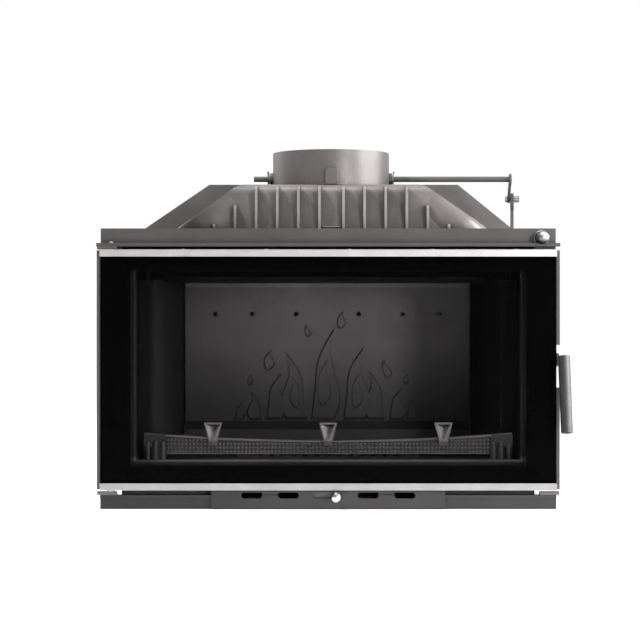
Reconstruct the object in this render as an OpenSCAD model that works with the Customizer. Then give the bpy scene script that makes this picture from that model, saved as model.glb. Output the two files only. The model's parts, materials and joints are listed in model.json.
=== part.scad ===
// Fireplace insert: a cast firebox behind a glazed side-hung door, a finned smoke hood and a flue damper.
// Z is up and the door faces -Y. The origin is on the floor, under the middle of the body.

/* [Body] */
// Width of the cast body over its side walls
body_w = 700; // [680:1:740]
// Depth of the cast body, from the rim that the door meets to the back of the rear wall
body_d = 400; // [380:1:460]
// Thickness of the side walls
side_wall_t = 5; // [4.5:0.5:7]
// Thickness of the rear wall
rear_wall_t = 6; // [5:0.5:8]
// Thickness of the top plate
top_plate_t = 8; // [7:0.5:10]
// Thickness of the rim around the firebox mouth
rim_t = 12; // [10:0.5:14]
// Width of the rim's face at the sides
rim_side = 25; // [22:0.5:30]
// Height of the rim's face above the firebox mouth
rim_head = 38; // [32:0.5:44]
// Reach of the ribs outside the side walls
side_rib_reach = 20; // [10:0.5:24]
// Thickness of a cast rib on the side walls and the rear wall
rib_t = 5; // [4:0.5:7]
// Distance between neighbouring side ribs
side_rib_pitch = 40; // [34:1:48]
// Reach of the ribs behind the rear wall
rear_rib_reach = 9; // [6:0.5:14]
// Distance between neighbouring rear ribs
rear_rib_pitch = 62; // [50:1:80]

/* [Base] */
// Height of the base chamber under the hearth plate
base_h = 70; // [64:1:76]
// Wall of the base chamber
base_wall_t = 5; // [4:0.5:6]
// Thickness of the hearth plate
hearth_t = 10; // [9:0.5:13]
// Length of the grate
grate_w = 320; // [280:1:340]
// Depth of the grate
grate_d = 190; // [160:1:200]
// Thickness of the grate
grate_t = 7; // [6:0.5:8]
// Width of one slot in the grate
grate_slot_w = 9; // [7:0.5:11]
// Distance between neighbouring grate slots
grate_pitch = 20; // [18:0.5:26]
// Height of the ash pan
ash_pan_h = 46; // [36:1:52]
// Sheet thickness of the ash pan
ash_pan_t = 1.5; // [1:0.1:2]

/* [Front rail] */
// Height of the middle plate of the front rail
rail_mid_h = 31; // [30:0.2:31.6]
// Half the width of the middle plate
rail_mid_half = 197; // [190:1:210]
// Thickness of the rail's plates
rail_t = 5; // [4:0.5:5.5]
// Height of the outer plates up to the underside of their lip
rail_side_h = 18.5; // [16:0.5:20]
// Height of the lip along the outer plates
rail_lip_h = 5.5; // [4:0.5:6]
// Width of one air slot
air_slot_w = 35; // [28:1:38]
// Height of the air slots
air_slot_h = 10; // [8:0.5:11]
// Distance from the middle to the inner air slots
air_slot_inner = 67; // [64:1:70]
// Distance from the middle to the outer air slots
air_slot_outer = 129; // [126:1:132]
// Travel of the air slider
air_travel = 34; // [28:1:35]
// Diameter of the air knob
air_knob_d = 18; // [16:0.5:19]

/* [Door] */
// How far the door stands out past the body on each side
door_overhang = 40; // [38:0.5:46]
// Height of the door
door_h = 405; // [390:1:420]
// Height of the door's lower edge above the floor
door_z = 32.5; // [32.2:0.1:34]
// Gap above the door
door_head_gap = 5.5; // [5:0.1:8]
// Thickness of the cast door frame
door_frame_t = 14; // [12:0.5:16]
// Gap between the door frame and the rim, filled by the rope seal
rope_gap = 6.5; // [5:0.5:7]
// Diameter of the rope seal
rope_d = 10; // [9:0.5:10.5]
// Thickness of the door glass
glass_t = 4; // [3:0.5:5]
// Height of the steel trims along the glass
trim_h = 11.8; // [10:0.2:14]
// Sheet thickness of the steel trims
trim_t = 1; // [0.8:0.1:1.5]
// Width of the frame left showing beside the glass
flange_show = 5.5; // [4:0.5:7]
// Width of the door frame's side members
frame_side = 54; // [48:0.5:56]
// Height of the door frame's lower member
frame_sill = 39.5; // [36:0.5:41]
// Height of the door frame's upper member
frame_head = 33.5; // [30:0.5:35]
// Distance from the door's left edge to the hinge axis
hinge_inset = 23; // [21:0.5:24]
// Diameter of the hinge pins
hinge_pin_d = 8; // [6:0.5:9]

/* [Handle] */
// Diameter of the handle tube
handle_d = 20; // [18:0.2:21]
// Length of the handle tube
handle_len = 130; // [110:1:145]
// Wall of the handle tube
handle_wall = 2; // [1.5:0.1:2.5]
// How far the handle leans towards the room
handle_lean_front = 12; // [8:0.5:14]
// How far the handle leans away from the door
handle_lean_out = 0.8; // [0:0.1:3]
// Thickness of the latch lever
lever_t = 4; // [3.5:0.1:4.4]

/* [Hood] */
// Sideways offset of the hood and flue from the middle of the door
hood_shift = 6; // [0:0.5:10]
// Height of the hood above the top plate
hood_h = 105; // [95:1:115]
// Distance from the side of the body in to the foot of the hood
hood_side_gap = 40; // [34:1:50]
// Half width of the hood at its top
hood_top_half = 160; // [150:1:175]
// Wall of the hood
hood_wall = 5; // [4.5:0.5:7]
// Distance from the rim's face back to the hood's front
hood_setback = 74; // [72:1:80]
// Thickness of a hood fin
fin_t = 4.5; // [3.5:0.25:6]
// Distance between neighbouring hood fins
fin_pitch = 36.5; // [34:0.5:38]
// Reach of the hood fins in front of the hood
fin_reach = 10; // [6:0.5:12]
// Distance from the hood's middle to the first fin
fin_first = 20.8; // [19:0.1:22]

/* [Flue collar] */
// Inside diameter of the socket for a 200 mm flue pipe
flue_d = 201; // [180:1:204]
// Wall of the collar around the socket
collar_wall = 4; // [3.5:0.5:5]
// Height of the collar above the hood
collar_h = 62; // [62:1:80]
// Depth of the pipe socket
socket_depth = 34; // [28:1:34]
// Distance from the rim's face back to the flue axis
flue_setback = 208; // [200:1:220]
// Height of the damper shaft above the hood
shaft_rise = 16.6; // [15:0.2:17]
// Diameter of the damper shaft
shaft_d = 10; // [8:0.5:12]
// Diameter of the damper disc
disc_d = 184; // [150:1:184]
// Length of the damper crank between its pins
crank_len = 44.4; // [40:0.2:48]

/* [Front beam] */
// Height of the beam over the door, with its lip
beam_h = 31; // [28:0.5:36]
// Thickness of the beam's plates
beam_t = 8; // [6:0.5:9]
// Height of the lip along the beam's lower edge
beam_lip_h = 6; // [5:0.5:7]
// Diameter of the ball on the damper pull
pull_knob_d = 21; // [18:0.5:22]

/* [Firebox] */
// Thickness of the rear lining plate
back_lining_t = 9; // [8:0.5:14]
// Half width of the rear lining plate
back_lining_half = 266; // [256:1:270]
// Height of the linings above the hearth
lining_h = 308; // [296:1:312]
// Diameter of an air hole in the rear lining
air_hole_d = 9; // [6:0.5:12]
// Thickness of the side linings
side_lining_t = 9; // [8:0.5:14]
// Half width between the side linings at their front
lining_front_half = 296; // [288:1:299]
// Thickness of the baffles
baffle_t = 8; // [7:0.5:12]
// Depth of the lower baffle
baffle_d = 190; // [160:1:200]
// Height of the log fence in its middle, over the hearth
fence_mid_h = 34; // [30:0.5:38]
// Height of the log fence at its ends, over the hearth
fence_end_h = 47; // [42:0.5:52]
// Gap between each end of the log fence and the side linings
fence_end_gap = 10; // [8:0.5:24]
// Thickness of the log fence
fence_t = 8; // [6:0.5:9]

/* [Hidden] */
$fn = 48;

// Shared clearances and the overrun of every cut
over = 1;
fit_gap = 0.3;
run_gap = 0.05;

// Levels and planes that several pieces share
half_w = body_w / 2;
front_y = -body_d / 2;
rear_y = body_d / 2;
rear_face_y = rear_y - rear_wall_t;
hearth_z = base_h + hearth_t;
door_top = door_z + door_h;
beam_z = door_top + door_head_gap;
top_z = beam_z + top_plate_t;
rim_back_y = front_y + rim_t;
wall_in = half_w - side_wall_t;

// Rim around the mouth
rim_foot_z = 40;
rim_sill = 2;
mouth_half = half_w - rim_side;
mouth_z0 = hearth_z + rim_sill;
mouth_z1 = beam_z - rim_head;
bead_r = rim_t / 2;

// Door planes, from the frame's back to the trim's front
door_half = half_w + door_overhang;
frame_back_y = front_y - rope_gap;
frame_front_y = frame_back_y - door_frame_t;
gasket_t = 2;
glass_back_y = frame_front_y - gasket_t;
glass_front_y = glass_back_y - glass_t;
glass_half = door_half - flange_show;
window_half = door_half - frame_side;
window_z0 = door_z + frame_sill;
window_z1 = door_top - frame_head;
frame_z0 = door_z + trim_t;
frame_z1 = door_top - trim_t;
hinge_x = -(door_half - hinge_inset);
hinge_y = frame_back_y - door_frame_t / 2;

// Hood and flue
hood_foot_half = half_w - hood_side_gap;
hood_front_y = front_y + hood_setback;
hood_top_z = top_z + hood_h;
hood_foot_h = 26;
hood_draw = 9;
hood_round_r = 22;
hood_corner_r = 96;
flue_y = front_y + flue_setback;
flue_r = flue_d / 2;
collar_r = flue_r + collar_wall;
collar_top_z = hood_top_z + collar_h;
shaft_z = hood_top_z + shaft_rise;
shaft_r = shaft_d / 2;
throat_wall = 7;
throat_r = collar_r - throat_wall;

// Front beam
beam_inset = 5;
beam_reach = 5;
beam_lip_reach = 18.5;
beam_half = door_half - beam_inset;
beam_top_z = beam_z + beam_h;
beam_face_y = front_y - beam_reach;
beam_lip_y = front_y - beam_lip_reach;

// Damper pull and its linkage
pull_inset = 29;
pull_drop = 16.5;
pull_x = door_half - pull_inset;
pull_z = beam_top_z - pull_drop;
pull_rod_d = 8;
pull_foot_d = 19;
crank_lean = 40;
crank_inset = 34;
crank_x = pull_x - crank_inset;
crank_t = 4;
link_gap = 1.6;
link_t = 5;
link_x = crank_x + crank_t + link_gap;
crank_pin_d = 6;
pin_y = flue_y + crank_len * sin(crank_lean);
pin_z = shaft_z - crank_len * cos(crank_lean);

// Height of the latch lever's bolt
lever_rise = 219.5;
lever_z = door_z + lever_rise;

// A box from two corners
module block(low, high) {
    translate(low) cube(high - low);
}

// A box that reaches the same distance to both sides of x = 0
module centred_block(half, y0, y1, z0, z1) {
    block([-half, y0, z0], [half, y1, z1]);
}

// A cylinder that starts at a point and runs along X, Y or Z
module rod_x(at, r, len) {
    translate(at) rotate([0, 90, 0]) cylinder(r = r, h = len);
}
module rod_y(at, r, len) {
    translate(at) rotate([-90, 0, 0]) cylinder(r = r, h = len);
}
module rod_z(at, r, len) {
    translate(at) cylinder(r = r, h = len);
}

// An outline in X and Z pushed along Y from y0 to y1
module plate_y(y0, y1) {
    translate([0, y1, 0]) rotate([90, 0, 0]) linear_extrude(y1 - y0) children();
}

// An outline in Y and Z pushed along X from x0 to x1
module plate_x(x0, x1) {
    translate([x0, 0, 0]) rotate([90, 0, 90]) linear_extrude(x1 - x0) children();
}

// A flat bar with round ends, from point a to point b
module round_bar(a, b, r) {
    run = b - a;
    translate(a) circle(r);
    translate(b) circle(r);
    translate(a) rotate(atan2(run[1], run[0])) translate([0, -r]) square([norm(run), 2 * r]);
}

// A slot with round ends along X, centred on the origin
module obround(w, h) {
    round_bar([-(w - h) / 2, 0], [(w - h) / 2, 0], h / 2);
}

// A hexagon across its flats, as a solid along Z
module hex_head(flats, h) {
    cylinder(d = flats / cos(30), h = h, $fn = 6);
}

// Base chamber: an open tray with a ledge round its upper edge and two air mouths in its front wall
chamber_mouth_h = 30;
chamber_ledge = 18;
chamber_ledge_h = 12;
module base_chamber() {
    color("dimgray") difference() {
        centred_block(half_w, front_y, rear_face_y, 0, base_h);
        centred_block(half_w - base_wall_t, front_y + base_wall_t, rear_face_y - base_wall_t,
            base_wall_t, base_h - chamber_ledge_h);
        centred_block(half_w - chamber_ledge, front_y + chamber_ledge, rear_face_y - chamber_ledge,
            base_wall_t, base_h + over);
        tie_rod_places() rod_z([0, 0, base_h - tie_rod_grip], tie_rod_d / 2, tie_rod_grip + over);
        for (side = [-1, 1])
            translate([side * rail_mid_half / 2, 0, 0])
                centred_block(rail_mid_half / 2 - base_wall_t, front_y - over,
                    front_y + base_wall_t + over, base_wall_t, chamber_mouth_h);
    }
}

// Hearth plate with a ledge that carries the grate
grate_y = -10;
grate_gap = 1.5;
grate_ledge = 8;
module hearth_plate() {
    color("dimgray") difference() {
        centred_block(wall_in, rim_back_y, rear_face_y, base_h, hearth_z);
        for (side = [-1, 1]) flange_block(side);
        tie_rod_places() rod_z([0, 0, base_h - over], tie_rod_d / 2 + run_gap, hearth_t + 2 * over);
        centred_block(grate_w / 2 + grate_gap, grate_y - grate_d / 2 - grate_gap,
            grate_y + grate_d / 2 + grate_gap, hearth_z - grate_t, hearth_z + over);
        centred_block(grate_w / 2 - grate_ledge, grate_y - grate_d / 2 + grate_ledge,
            grate_y + grate_d / 2 - grate_ledge, base_h - over, hearth_z);
    }
}

// Grate, a cast plate with slots from front to back in two rows
grate_border = 16;
grate_mid_bar = 12;
grate_slot_len = (grate_d - 2 * grate_border - grate_mid_bar) / 2;
grate_slots = floor((grate_w - 2 * grate_border - grate_slot_w) / grate_pitch / 2);
module grate() {
    slot_y = (grate_mid_bar + grate_slot_len) / 2;
    color("gray") difference() {
        centred_block(grate_w / 2, grate_y - grate_d / 2, grate_y + grate_d / 2,
            hearth_z - grate_t, hearth_z);
        for (i = [-grate_slots : grate_slots], side = [-1, 1])
            translate([i * grate_pitch, grate_y + side * slot_y, hearth_z - grate_t - over])
                linear_extrude(grate_t + 2 * over)
                    rotate(90) obround(grate_slot_len, grate_slot_w);
    }
}

// Ash pan, a folded tray with a lip, lifted out once the grate is off
pan_gap = 4;
pan_lip = 6;
module ash_pan() {
    half = grate_w / 2 - grate_ledge - pan_gap;
    deep = grate_d / 2 - grate_ledge - pan_gap;
    floor_z = base_wall_t;
    color("silver") difference() {
        union() {
            centred_block(half - pan_lip, grate_y - deep + pan_lip, grate_y + deep - pan_lip,
                floor_z, floor_z + ash_pan_h);
            centred_block(half, grate_y - deep, grate_y + deep,
                floor_z + ash_pan_h - ash_pan_t, floor_z + ash_pan_h);
        }
        centred_block(half - pan_lip - ash_pan_t, grate_y - deep + pan_lip + ash_pan_t,
            grate_y + deep - pan_lip - ash_pan_t, floor_z + ash_pan_t, floor_z + ash_pan_h + over);
    }
}

// Front rail under the door: a middle plate with air slots between two lower plates with a lip
rail_mid_reach = 22;
rail_side_reach = 14;
rail_mid_y = front_y - rail_mid_reach;
rail_side_y = front_y - rail_side_reach;
rail_lip_y = beam_lip_y;
rail_foot_t = 5;
rail_half = beam_half;
air_slot_z = 23.5;
air_link_h = 4;
stem_d = 6;
stem_x = 13;
stem_drop = 1.2;
stem_z = air_slot_z - stem_drop;
stem_slot_clear = 1.5;
module rail_openings() {
    for (side = [-1, 1]) {
        for (x = [air_slot_inner, air_slot_outer])
            translate([side * x, air_slot_z]) obround(air_slot_w, air_slot_h);
        translate([side * (air_slot_inner + air_slot_outer) / 2, air_slot_z + (air_slot_h - air_link_h) / 2])
            square([air_slot_outer - air_slot_inner, air_link_h], center = true);
    }
    slot_half = (air_travel + stem_d) / 2 + stem_slot_clear;
    translate([stem_x - air_travel / 2, air_slot_z]) obround(2 * slot_half, air_slot_h);
}
module front_rail() {
    color("dimgray") {
        difference() {
            centred_block(rail_mid_half, rail_mid_y, rail_mid_y + rail_t, 0, rail_mid_h);
            plate_y(rail_mid_y - over, rail_mid_y + rail_t + over) rail_openings();
        }
        centred_block(rail_mid_half, rail_mid_y + rail_t, front_y, 0, rail_foot_t);
        for (side = [-1, 1]) {
            x0 = side > 0 ? rail_mid_half : -rail_half;
            x1 = side > 0 ? rail_half : -rail_mid_half;
            block([x0, rail_side_y, 0], [x1, rail_side_y + rail_t, rail_side_h]);
            block([x0, rail_lip_y, rail_side_h], [x1, front_y, rail_side_h + rail_lip_h]);
            block([x0, rail_side_y + rail_t, 0], [x1, front_y, rail_foot_t]);
            cheek = side * (rail_mid_half - rail_t / 2);
            translate([cheek, 0, 0])
                centred_block(rail_t / 2, rail_mid_y + rail_t, front_y, rail_foot_t, rail_mid_h);
        }
    }
}

// Air slider behind the middle plate, with windows that line up with the slots
slider_t = 3;
slider_gap = 0.6;
slider_end = 5.5;
slider_half = air_slot_outer + air_slot_w / 2 + slider_end;
slider_y = rail_mid_y + rail_t + slider_gap;
slider_h = 15;
slider_window_h = 11;
module air_slider() {
    color("gray") difference() {
        plate_y(slider_y, slider_y + slider_t) translate([-slider_half, air_slot_z - slider_h / 2])
            square([2 * slider_half, slider_h]);
        plate_y(slider_y - over, slider_y + slider_t + over) {
            for (side = [-1, 1], x = [air_slot_inner, air_slot_outer])
                translate([side * x, air_slot_z])
                    square([air_slot_w, slider_window_h], center = true);
            translate([stem_x, stem_z]) circle(d = stem_d);
        }
    }
}

// Two angled strips that hold the slider from below and above
guide_t = 2;
guide_lip = 2;
module slider_guides() {
    z0 = air_slot_z - slider_h / 2;
    z1 = air_slot_z + slider_h / 2;
    back = slider_y + slider_t + slider_gap;
    half = rail_mid_half - rail_t - slider_gap;
    color("darkgray") {
        centred_block(half, rail_mid_y + rail_t, back + guide_t, z0 - fit_gap - guide_t, z0 - fit_gap);
        centred_block(half, back, back + guide_t, z0 - fit_gap, z0 + guide_lip);
        for (side = [-1, 1])
            translate([side * (half - guide_lip), 0, 0])
                centred_block(guide_lip, back, back + guide_t, z0 + guide_lip, z1);
    }
}

// Turned ball knob on a stem: its foot lies in the plane y = 0 and it points to -Y
ball_sink = 0.42;
module ball_knob(ball_d, foot_d, neck_d, neck_len) {
    rotate([90, 0, 0]) {
        cylinder(d = foot_d, h = neck_len / 3);
        cylinder(d = neck_d, h = neck_len);
        translate([0, 0, neck_len + ball_d * ball_sink]) sphere(d = ball_d, $fn = 64);
    }
}

air_knob_gap = 1;
air_foot_d = 9.6;
air_neck_len = 6;
module air_knob() {
    foot_y = rail_mid_y - air_knob_gap;
    color("silver") {
        translate([stem_x, foot_y, stem_z]) ball_knob(air_knob_d, air_foot_d, stem_d, air_neck_len);
        rod_y([stem_x, foot_y - over, stem_z], stem_d / 2, slider_y + slider_t - foot_y + over);
    }
}

// Rim around the firebox mouth, with a round bead along its inner edge
module front_rim() {
    bead_half = mouth_half + bead_r;
    low = mouth_z0 - bead_r;
    high = mouth_z1 + bead_r;
    bead_y = front_y + bead_r;
    color("dimgray") {
        difference() {
            centred_block(half_w, front_y, rim_back_y, rim_foot_z, beam_z);
            centred_block(bead_half, front_y - over, rim_back_y + over, low, high);
            centred_block(half_w + over, front_y - over, rim_back_y + over, rim_foot_z - over, base_h);
        }
        for (z = [low, high]) rod_x([-bead_half, bead_y, z], bead_r, 2 * bead_half);
        for (side = [-1, 1]) {
            rod_z([side * bead_half, bead_y, low], bead_r, high - low);
            for (z = [low, high]) translate([side * bead_half, bead_y, z]) sphere(bead_r);
        }
    }
}

// Side wall with upright cooling ribs; side is -1 for the left one
side_rib_foot = 20;
side_rib_head = 14;
side_rib_front = 44;
side_rib_rear = 16;
side_rib_z0 = base_h + side_rib_foot;
side_rib_z1 = beam_z - side_rib_head;
side_rib_y0 = front_y + side_rib_front;
side_ribs = floor((body_d - side_rib_front - side_rib_rear) / side_rib_pitch);
flange_w = 15;
flange_d = 13;
module flange_block(side) {
    translate([side * (half_w - flange_w / 2), 0, 0])
        centred_block(flange_w / 2, rear_face_y - flange_d, rear_face_y, base_h, beam_z);
}
module side_wall(side) {
    x0 = side > 0 ? wall_in : -half_w;
    color("dimgray") {
        block([x0, rim_back_y, base_h], [x0 + side_wall_t, rear_face_y, beam_z]);
        difference() {
            flange_block(side);
            rear_bolt_places() rod_y([0, rear_face_y - flange_d, 0], rear_bolt_d / 2, flange_d + over);
        }
        for (i = [0 : side_ribs - 1]) {
            y = side_rib_y0 + i * side_rib_pitch;
            plate_y(y, y + rib_t) polygon([
                [side * half_w, side_rib_z0],
                [side * (half_w + side_rib_reach), side_rib_z0 + side_rib_reach],
                [side * (half_w + side_rib_reach), side_rib_z1 - side_rib_reach],
                [side * half_w, side_rib_z1]]);
        }
    }
}
module side_wall_left() { side_wall(-1); }
module side_wall_right() { side_wall(1); }

// Rear wall, whose upper part narrows to a trapezium behind the hood
rear_wing = 24;
rear_shoulder_rise = 23;
rear_top_rise = 20;
rear_half = half_w + rear_wing;
rear_shoulder_z = top_z + rear_shoulder_rise;
rear_top_z = hood_top_z + rear_top_rise;
rear_top_half = 236;
rear_ribs = 5;
rear_rib_z0 = base_h;
module rear_wall() {
    rib_top = rear_shoulder_z - rear_rib_pitch / 2;
    color("dimgray") difference() {
        union() {
            plate_y(rear_face_y, rear_y) polygon([
                [-rear_half, 0], [rear_half, 0], [rear_half, rear_shoulder_z],
                [rear_top_half + 2 * hood_shift, rear_top_z],
                [-rear_top_half + 2 * hood_shift, rear_top_z], [-rear_half, rear_shoulder_z]]);
            for (i = [-rear_ribs : rear_ribs])
                plate_x(i * rear_rib_pitch - rib_t / 2, i * rear_rib_pitch + rib_t / 2) polygon([
                    [rear_y, rear_rib_z0], [rear_y + rear_rib_reach, rear_rib_z0 + rear_rib_reach],
                    [rear_y + rear_rib_reach, rib_top - rear_rib_reach], [rear_y, rib_top]]);
        }
        rear_bolt_places() rod_y([0, rear_face_y - over, 0], rear_bolt_d / 2, rear_wall_t + 2 * over);
    }
}

// Top plate with the opening that lets smoke into the hood
smoke_half = 190;
smoke_front = 130;
smoke_rear = 40;
smoke_y0 = front_y + smoke_front;
smoke_y1 = rear_face_y - smoke_rear;
module top_plate() {
    color("dimgray") difference() {
        centred_block(half_w, front_y, rear_face_y, beam_z, top_z);
        translate([hood_shift, 0, 0])
            centred_block(smoke_half, smoke_y0, smoke_y1, beam_z - over, top_z + over);
        tie_rod_places() rod_z([0, 0, beam_z - over], tie_rod_d / 2 + run_gap, top_plate_t + 2 * over);
        hood_bolt_places() rod_z([0, 0, beam_z - over], hood_bolt_d / 2, top_plate_t + 2 * over);
        rod_z([guide_screw_x, guide_screw_y, beam_z - over], guide_screw_d / 2, top_plate_t + 2 * over);
    }
}

// Beam over the door: an upright face, a lip below it and a flange that runs back to the hood
beam_flange_gap = 0.3;
beam_web_shares = [-0.75, -0.28, 0.28, 0.75];
beam_lip_out = 1;
beam_skirt_gap = 1;
knob_relief = 0.9;
module front_beam() {
    flange_y = hood_front_y - beam_flange_gap;
    web_y = front_y + hood_setback / 2;
    color("dimgray") difference() {
        union() {
            centred_block(beam_half, beam_face_y, beam_face_y + beam_t, beam_z, beam_top_z);
            centred_block(beam_half, beam_face_y + beam_t, flange_y, beam_top_z - beam_t, beam_top_z);
            centred_block(door_half + beam_lip_out, beam_lip_y, beam_face_y, beam_z, beam_z + beam_lip_h);
            for (side = [-1, 1])
                translate([side * (beam_half - beam_t / 2), 0, 0])
                    centred_block(beam_t / 2, beam_face_y + beam_t, web_y, beam_z, beam_top_z - beam_t);
            for (share = beam_web_shares) translate([share * beam_half, 0, 0])
                centred_block(beam_t / 2, beam_face_y + beam_t, web_y, top_z, beam_top_z - beam_t);
            // skirts close the gap over the door outside the body
            difference() {
                centred_block(beam_half, beam_face_y, beam_face_y + beam_t, door_top + beam_skirt_gap,
                    beam_top_z - beam_t);
                centred_block(half_w, beam_face_y - over, beam_face_y + beam_t + over,
                    beam_z - beam_h, beam_z);
            }
        }
        centred_block(half_w, front_y, flange_y + over, beam_z - over, top_z);
        rod_y([pull_x, beam_face_y - over, pull_z], pull_rod_d / 2 + run_gap, beam_t + 2 * over);
        rod_y([pull_x, beam_lip_y - over, pull_z], pull_foot_d / 2 + knob_relief,
            beam_lip_reach - beam_reach + over);
        rod_z([hinge_x, hinge_y, beam_z - over], hinge_pin_d / 2, beam_lip_h + 2 * over);
    }
}

// Points along an arc from angle a0 to a1
arc_steps = 6;
function arc(centre, r, a0, a1) = [for (i = [0 : arc_steps])
    let (a = a0 + (a1 - a0) * i / arc_steps) [centre[0] + r * cos(a), centre[1] + r * sin(a)]];

// Outline of the hood seen from the front, drawn in by wall
hood_shoulder_r = 34;
module hood_front_outline(wall) {
    foot = hood_foot_half - wall;
    head = hood_top_half - wall;
    high = hood_top_z - wall;
    slope = atan2(high - top_z, foot - head);
    r = hood_shoulder_r - wall;
    // each shoulder's arc touches the top and the sloping side
    shoulder = head - r * tan(slope / 2);
    polygon(concat(
        [[-foot, top_z - wall], [foot, top_z - wall], [foot, top_z]],
        arc([shoulder, high - r], r, 90 - slope, 90),
        arc([-shoulder, high - r], r, 90, 90 + slope),
        [[-foot, top_z]]));
}

// Outline of the hood seen from the side
module hood_side_outline(wall) {
    r = hood_round_r - wall;
    face = hood_front_y + wall;
    high = hood_top_z - wall;
    back = rear_face_y - wall;
    knee = top_z + hood_foot_h;
    tilt = atan2(hood_draw, high - r - knee);
    polygon(concat(
        [[face, top_z - wall], [back, top_z - wall], [back, high]],
        arc([face + hood_draw + r, high - r], r, 90, 180 - tilt),
        [[face, knee]]));
}

// Outline of the hood seen from above, with wide rounds at its front corners
module hood_plan_outline(wall) {
    half = hood_foot_half - wall;
    face = hood_front_y + wall;
    back = rear_face_y - wall;
    r = hood_corner_r - wall;
    polygon([[-half, back], [half, back], [half, face + r], [half - r, face], [-half + r, face],
        [-half, face + r]]);
    for (side = [-1, 1]) translate([side * (half - r), face + r]) circle(r, $fn = 96);
}

module hood_form(wall) {
    intersection() {
        plate_y(front_y, rear_y) hood_front_outline(wall);
        plate_x(-half_w, half_w) hood_side_outline(wall);
        translate([0, 0, top_z - wall]) linear_extrude(hood_h + wall) hood_plan_outline(wall);
    }
}

// One hood fin, k fins out from the middle; the outer fins are cut down along the hood's slope
fins_each_side = 6;
fins_full = 4;
fin_step_down = 34;
fin_head_r = 12;
fin_foot_gap = 0.5;
fin_tip_drop = 3;
fin_foot_z = beam_top_z + fin_foot_gap;
fin_tip_z = hood_top_z - fin_tip_drop;
function fin_x(k) = fin_first + k * fin_pitch;
function fin_top(k) = k < fins_full ? fin_tip_z : fin_tip_z - (k - fins_full + 1) * fin_step_down;
module hood_fins() {
    front = hood_front_y - fin_reach;
    back = hood_front_y + hood_corner_r;
    for (side = [-1, 1], k = [0 : fins_each_side - 1])
        let (top = fin_top(k), x = side * fin_x(k), r = min(fin_head_r, (top - fin_foot_z) / 2))
            plate_x(x - fin_t / 2, x + fin_t / 2) {
                polygon([[front, fin_foot_z], [back, fin_foot_z], [back, top], [front + r, top],
                    [front, top - r]]);
                translate([front + r, top - r]) circle(r);
            }
}

// Hood casting: a shell with fins down its front and a hole for the collar
collar_seat_gap = 0.3;
collar_tail_step = 1.5;
collar_tail_r = collar_r - collar_tail_step;
lug_half = 17;
lug_h = 5;
lug_reach = 6;
module hood() {
    color("gray") translate([hood_shift, 0, 0]) difference() {
        union() {
            hood_form(0);
            difference() {
                hood_fins();
                translate([0, 0, hood_top_z]) centred_block(half_w, front_y, rear_y, 0, hood_h);
                hood_form(hood_wall / 2);
            }
            centred_block(lug_half, hood_front_y - lug_reach, hood_front_y + hood_wall,
                fin_foot_z, fin_foot_z + lug_h);
            for (side = [-1, 1], y = hood_bolt_ys) translate([side * hood_lug_x, y, 0])
                centred_block(hood_lug_w, -hood_lug_w / 2, hood_lug_w / 2, top_z, top_z + hood_lug_h);
        }
        hood_form(hood_wall);
        for (side = [-1, 1], y = hood_bolt_ys)
            rod_z([side * (hood_foot_half + hood_bolt_out), y, top_z - over], hood_bolt_d / 2 + run_gap,
                hood_lug_h + 2 * over);
        translate([0, flue_y, 0]) claw_places()
            rod_z([claw_bolt_r, 0, hood_top_z - hood_wall - over], claw_bolt_d / 2, claw_bolt_grip + over);
        rod_z([0, flue_y, hood_top_z - hood_wall - over], collar_tail_r + collar_seat_gap,
            hood_wall + 2 * over);
    }
}

// Four screws that hold the hood's lugs down on the top plate
hood_lug_w = 26;
hood_lug_h = 7;
hood_lug_x = hood_foot_half - hood_lug_w / 3;
hood_bolt_d = 6;
hood_bolt_out = 8;
hood_bolt_front = 150;
hood_bolt_rear = 64;
hood_bolt_ys = [front_y + hood_bolt_front, rear_face_y - hood_bolt_rear];
hood_head_h = 4;
module hood_bolt_places() {
    for (side = [-1, 1], y = hood_bolt_ys)
        translate([hood_shift + side * (hood_foot_half + hood_bolt_out), y, 0]) children();
}
module hood_bolts() {
    color("silver") hood_bolt_places() {
        rod_z([0, 0, beam_z], hood_bolt_d / 2, top_plate_t + hood_lug_h);
        translate([0, 0, top_z + hood_lug_h]) hex_head(hood_bolt_d * 1.6, hood_head_h);
    }
}

// Flue collar: socket above, throat with the shaft bosses below, and a tail through the hood
collar_bead_reach = 3;
collar_bead_r = collar_r + collar_bead_reach;
collar_bead_h = 3.5;
collar_tail_drop = 8;
collar_tail_len = hood_wall + collar_tail_drop;
socket_z = collar_top_z - socket_depth;
boss_r = 11;
boss_reach = 5;
pad_half = 11.5;
pad_h = 27;
pad_reach = 4;
module flue_collar() {
    color("darkgray") translate([hood_shift, flue_y, 0]) difference() {
        union() {
            rod_z([0, 0, hood_top_z], collar_r, collar_h);
            rod_z([0, 0, hood_top_z], collar_bead_r, collar_bead_h);
            rod_z([0, 0, hood_top_z - collar_tail_len], collar_tail_r, collar_tail_len);
            rod_x([-collar_r - boss_reach, 0, shaft_z], boss_r, 2 * (collar_r + boss_reach));
            // cast pad on the front of the collar
            translate([0, -collar_r - pad_reach, hood_top_z]) {
                centred_block(pad_half, 0, collar_r / 2, 0, pad_h - pad_half);
                rod_y([0, 0, pad_h - pad_half], pad_half, collar_r / 2);
            }
        }
        rod_z([0, 0, socket_z], flue_r, socket_depth + over);
        rod_z([0, 0, hood_top_z - collar_tail_len - over], throat_r, collar_tail_len + collar_h);
        rod_x([-collar_r - boss_reach - over, 0, shaft_z], shaft_r + run_gap,
            2 * (collar_r + boss_reach + over));
    }
}

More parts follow.
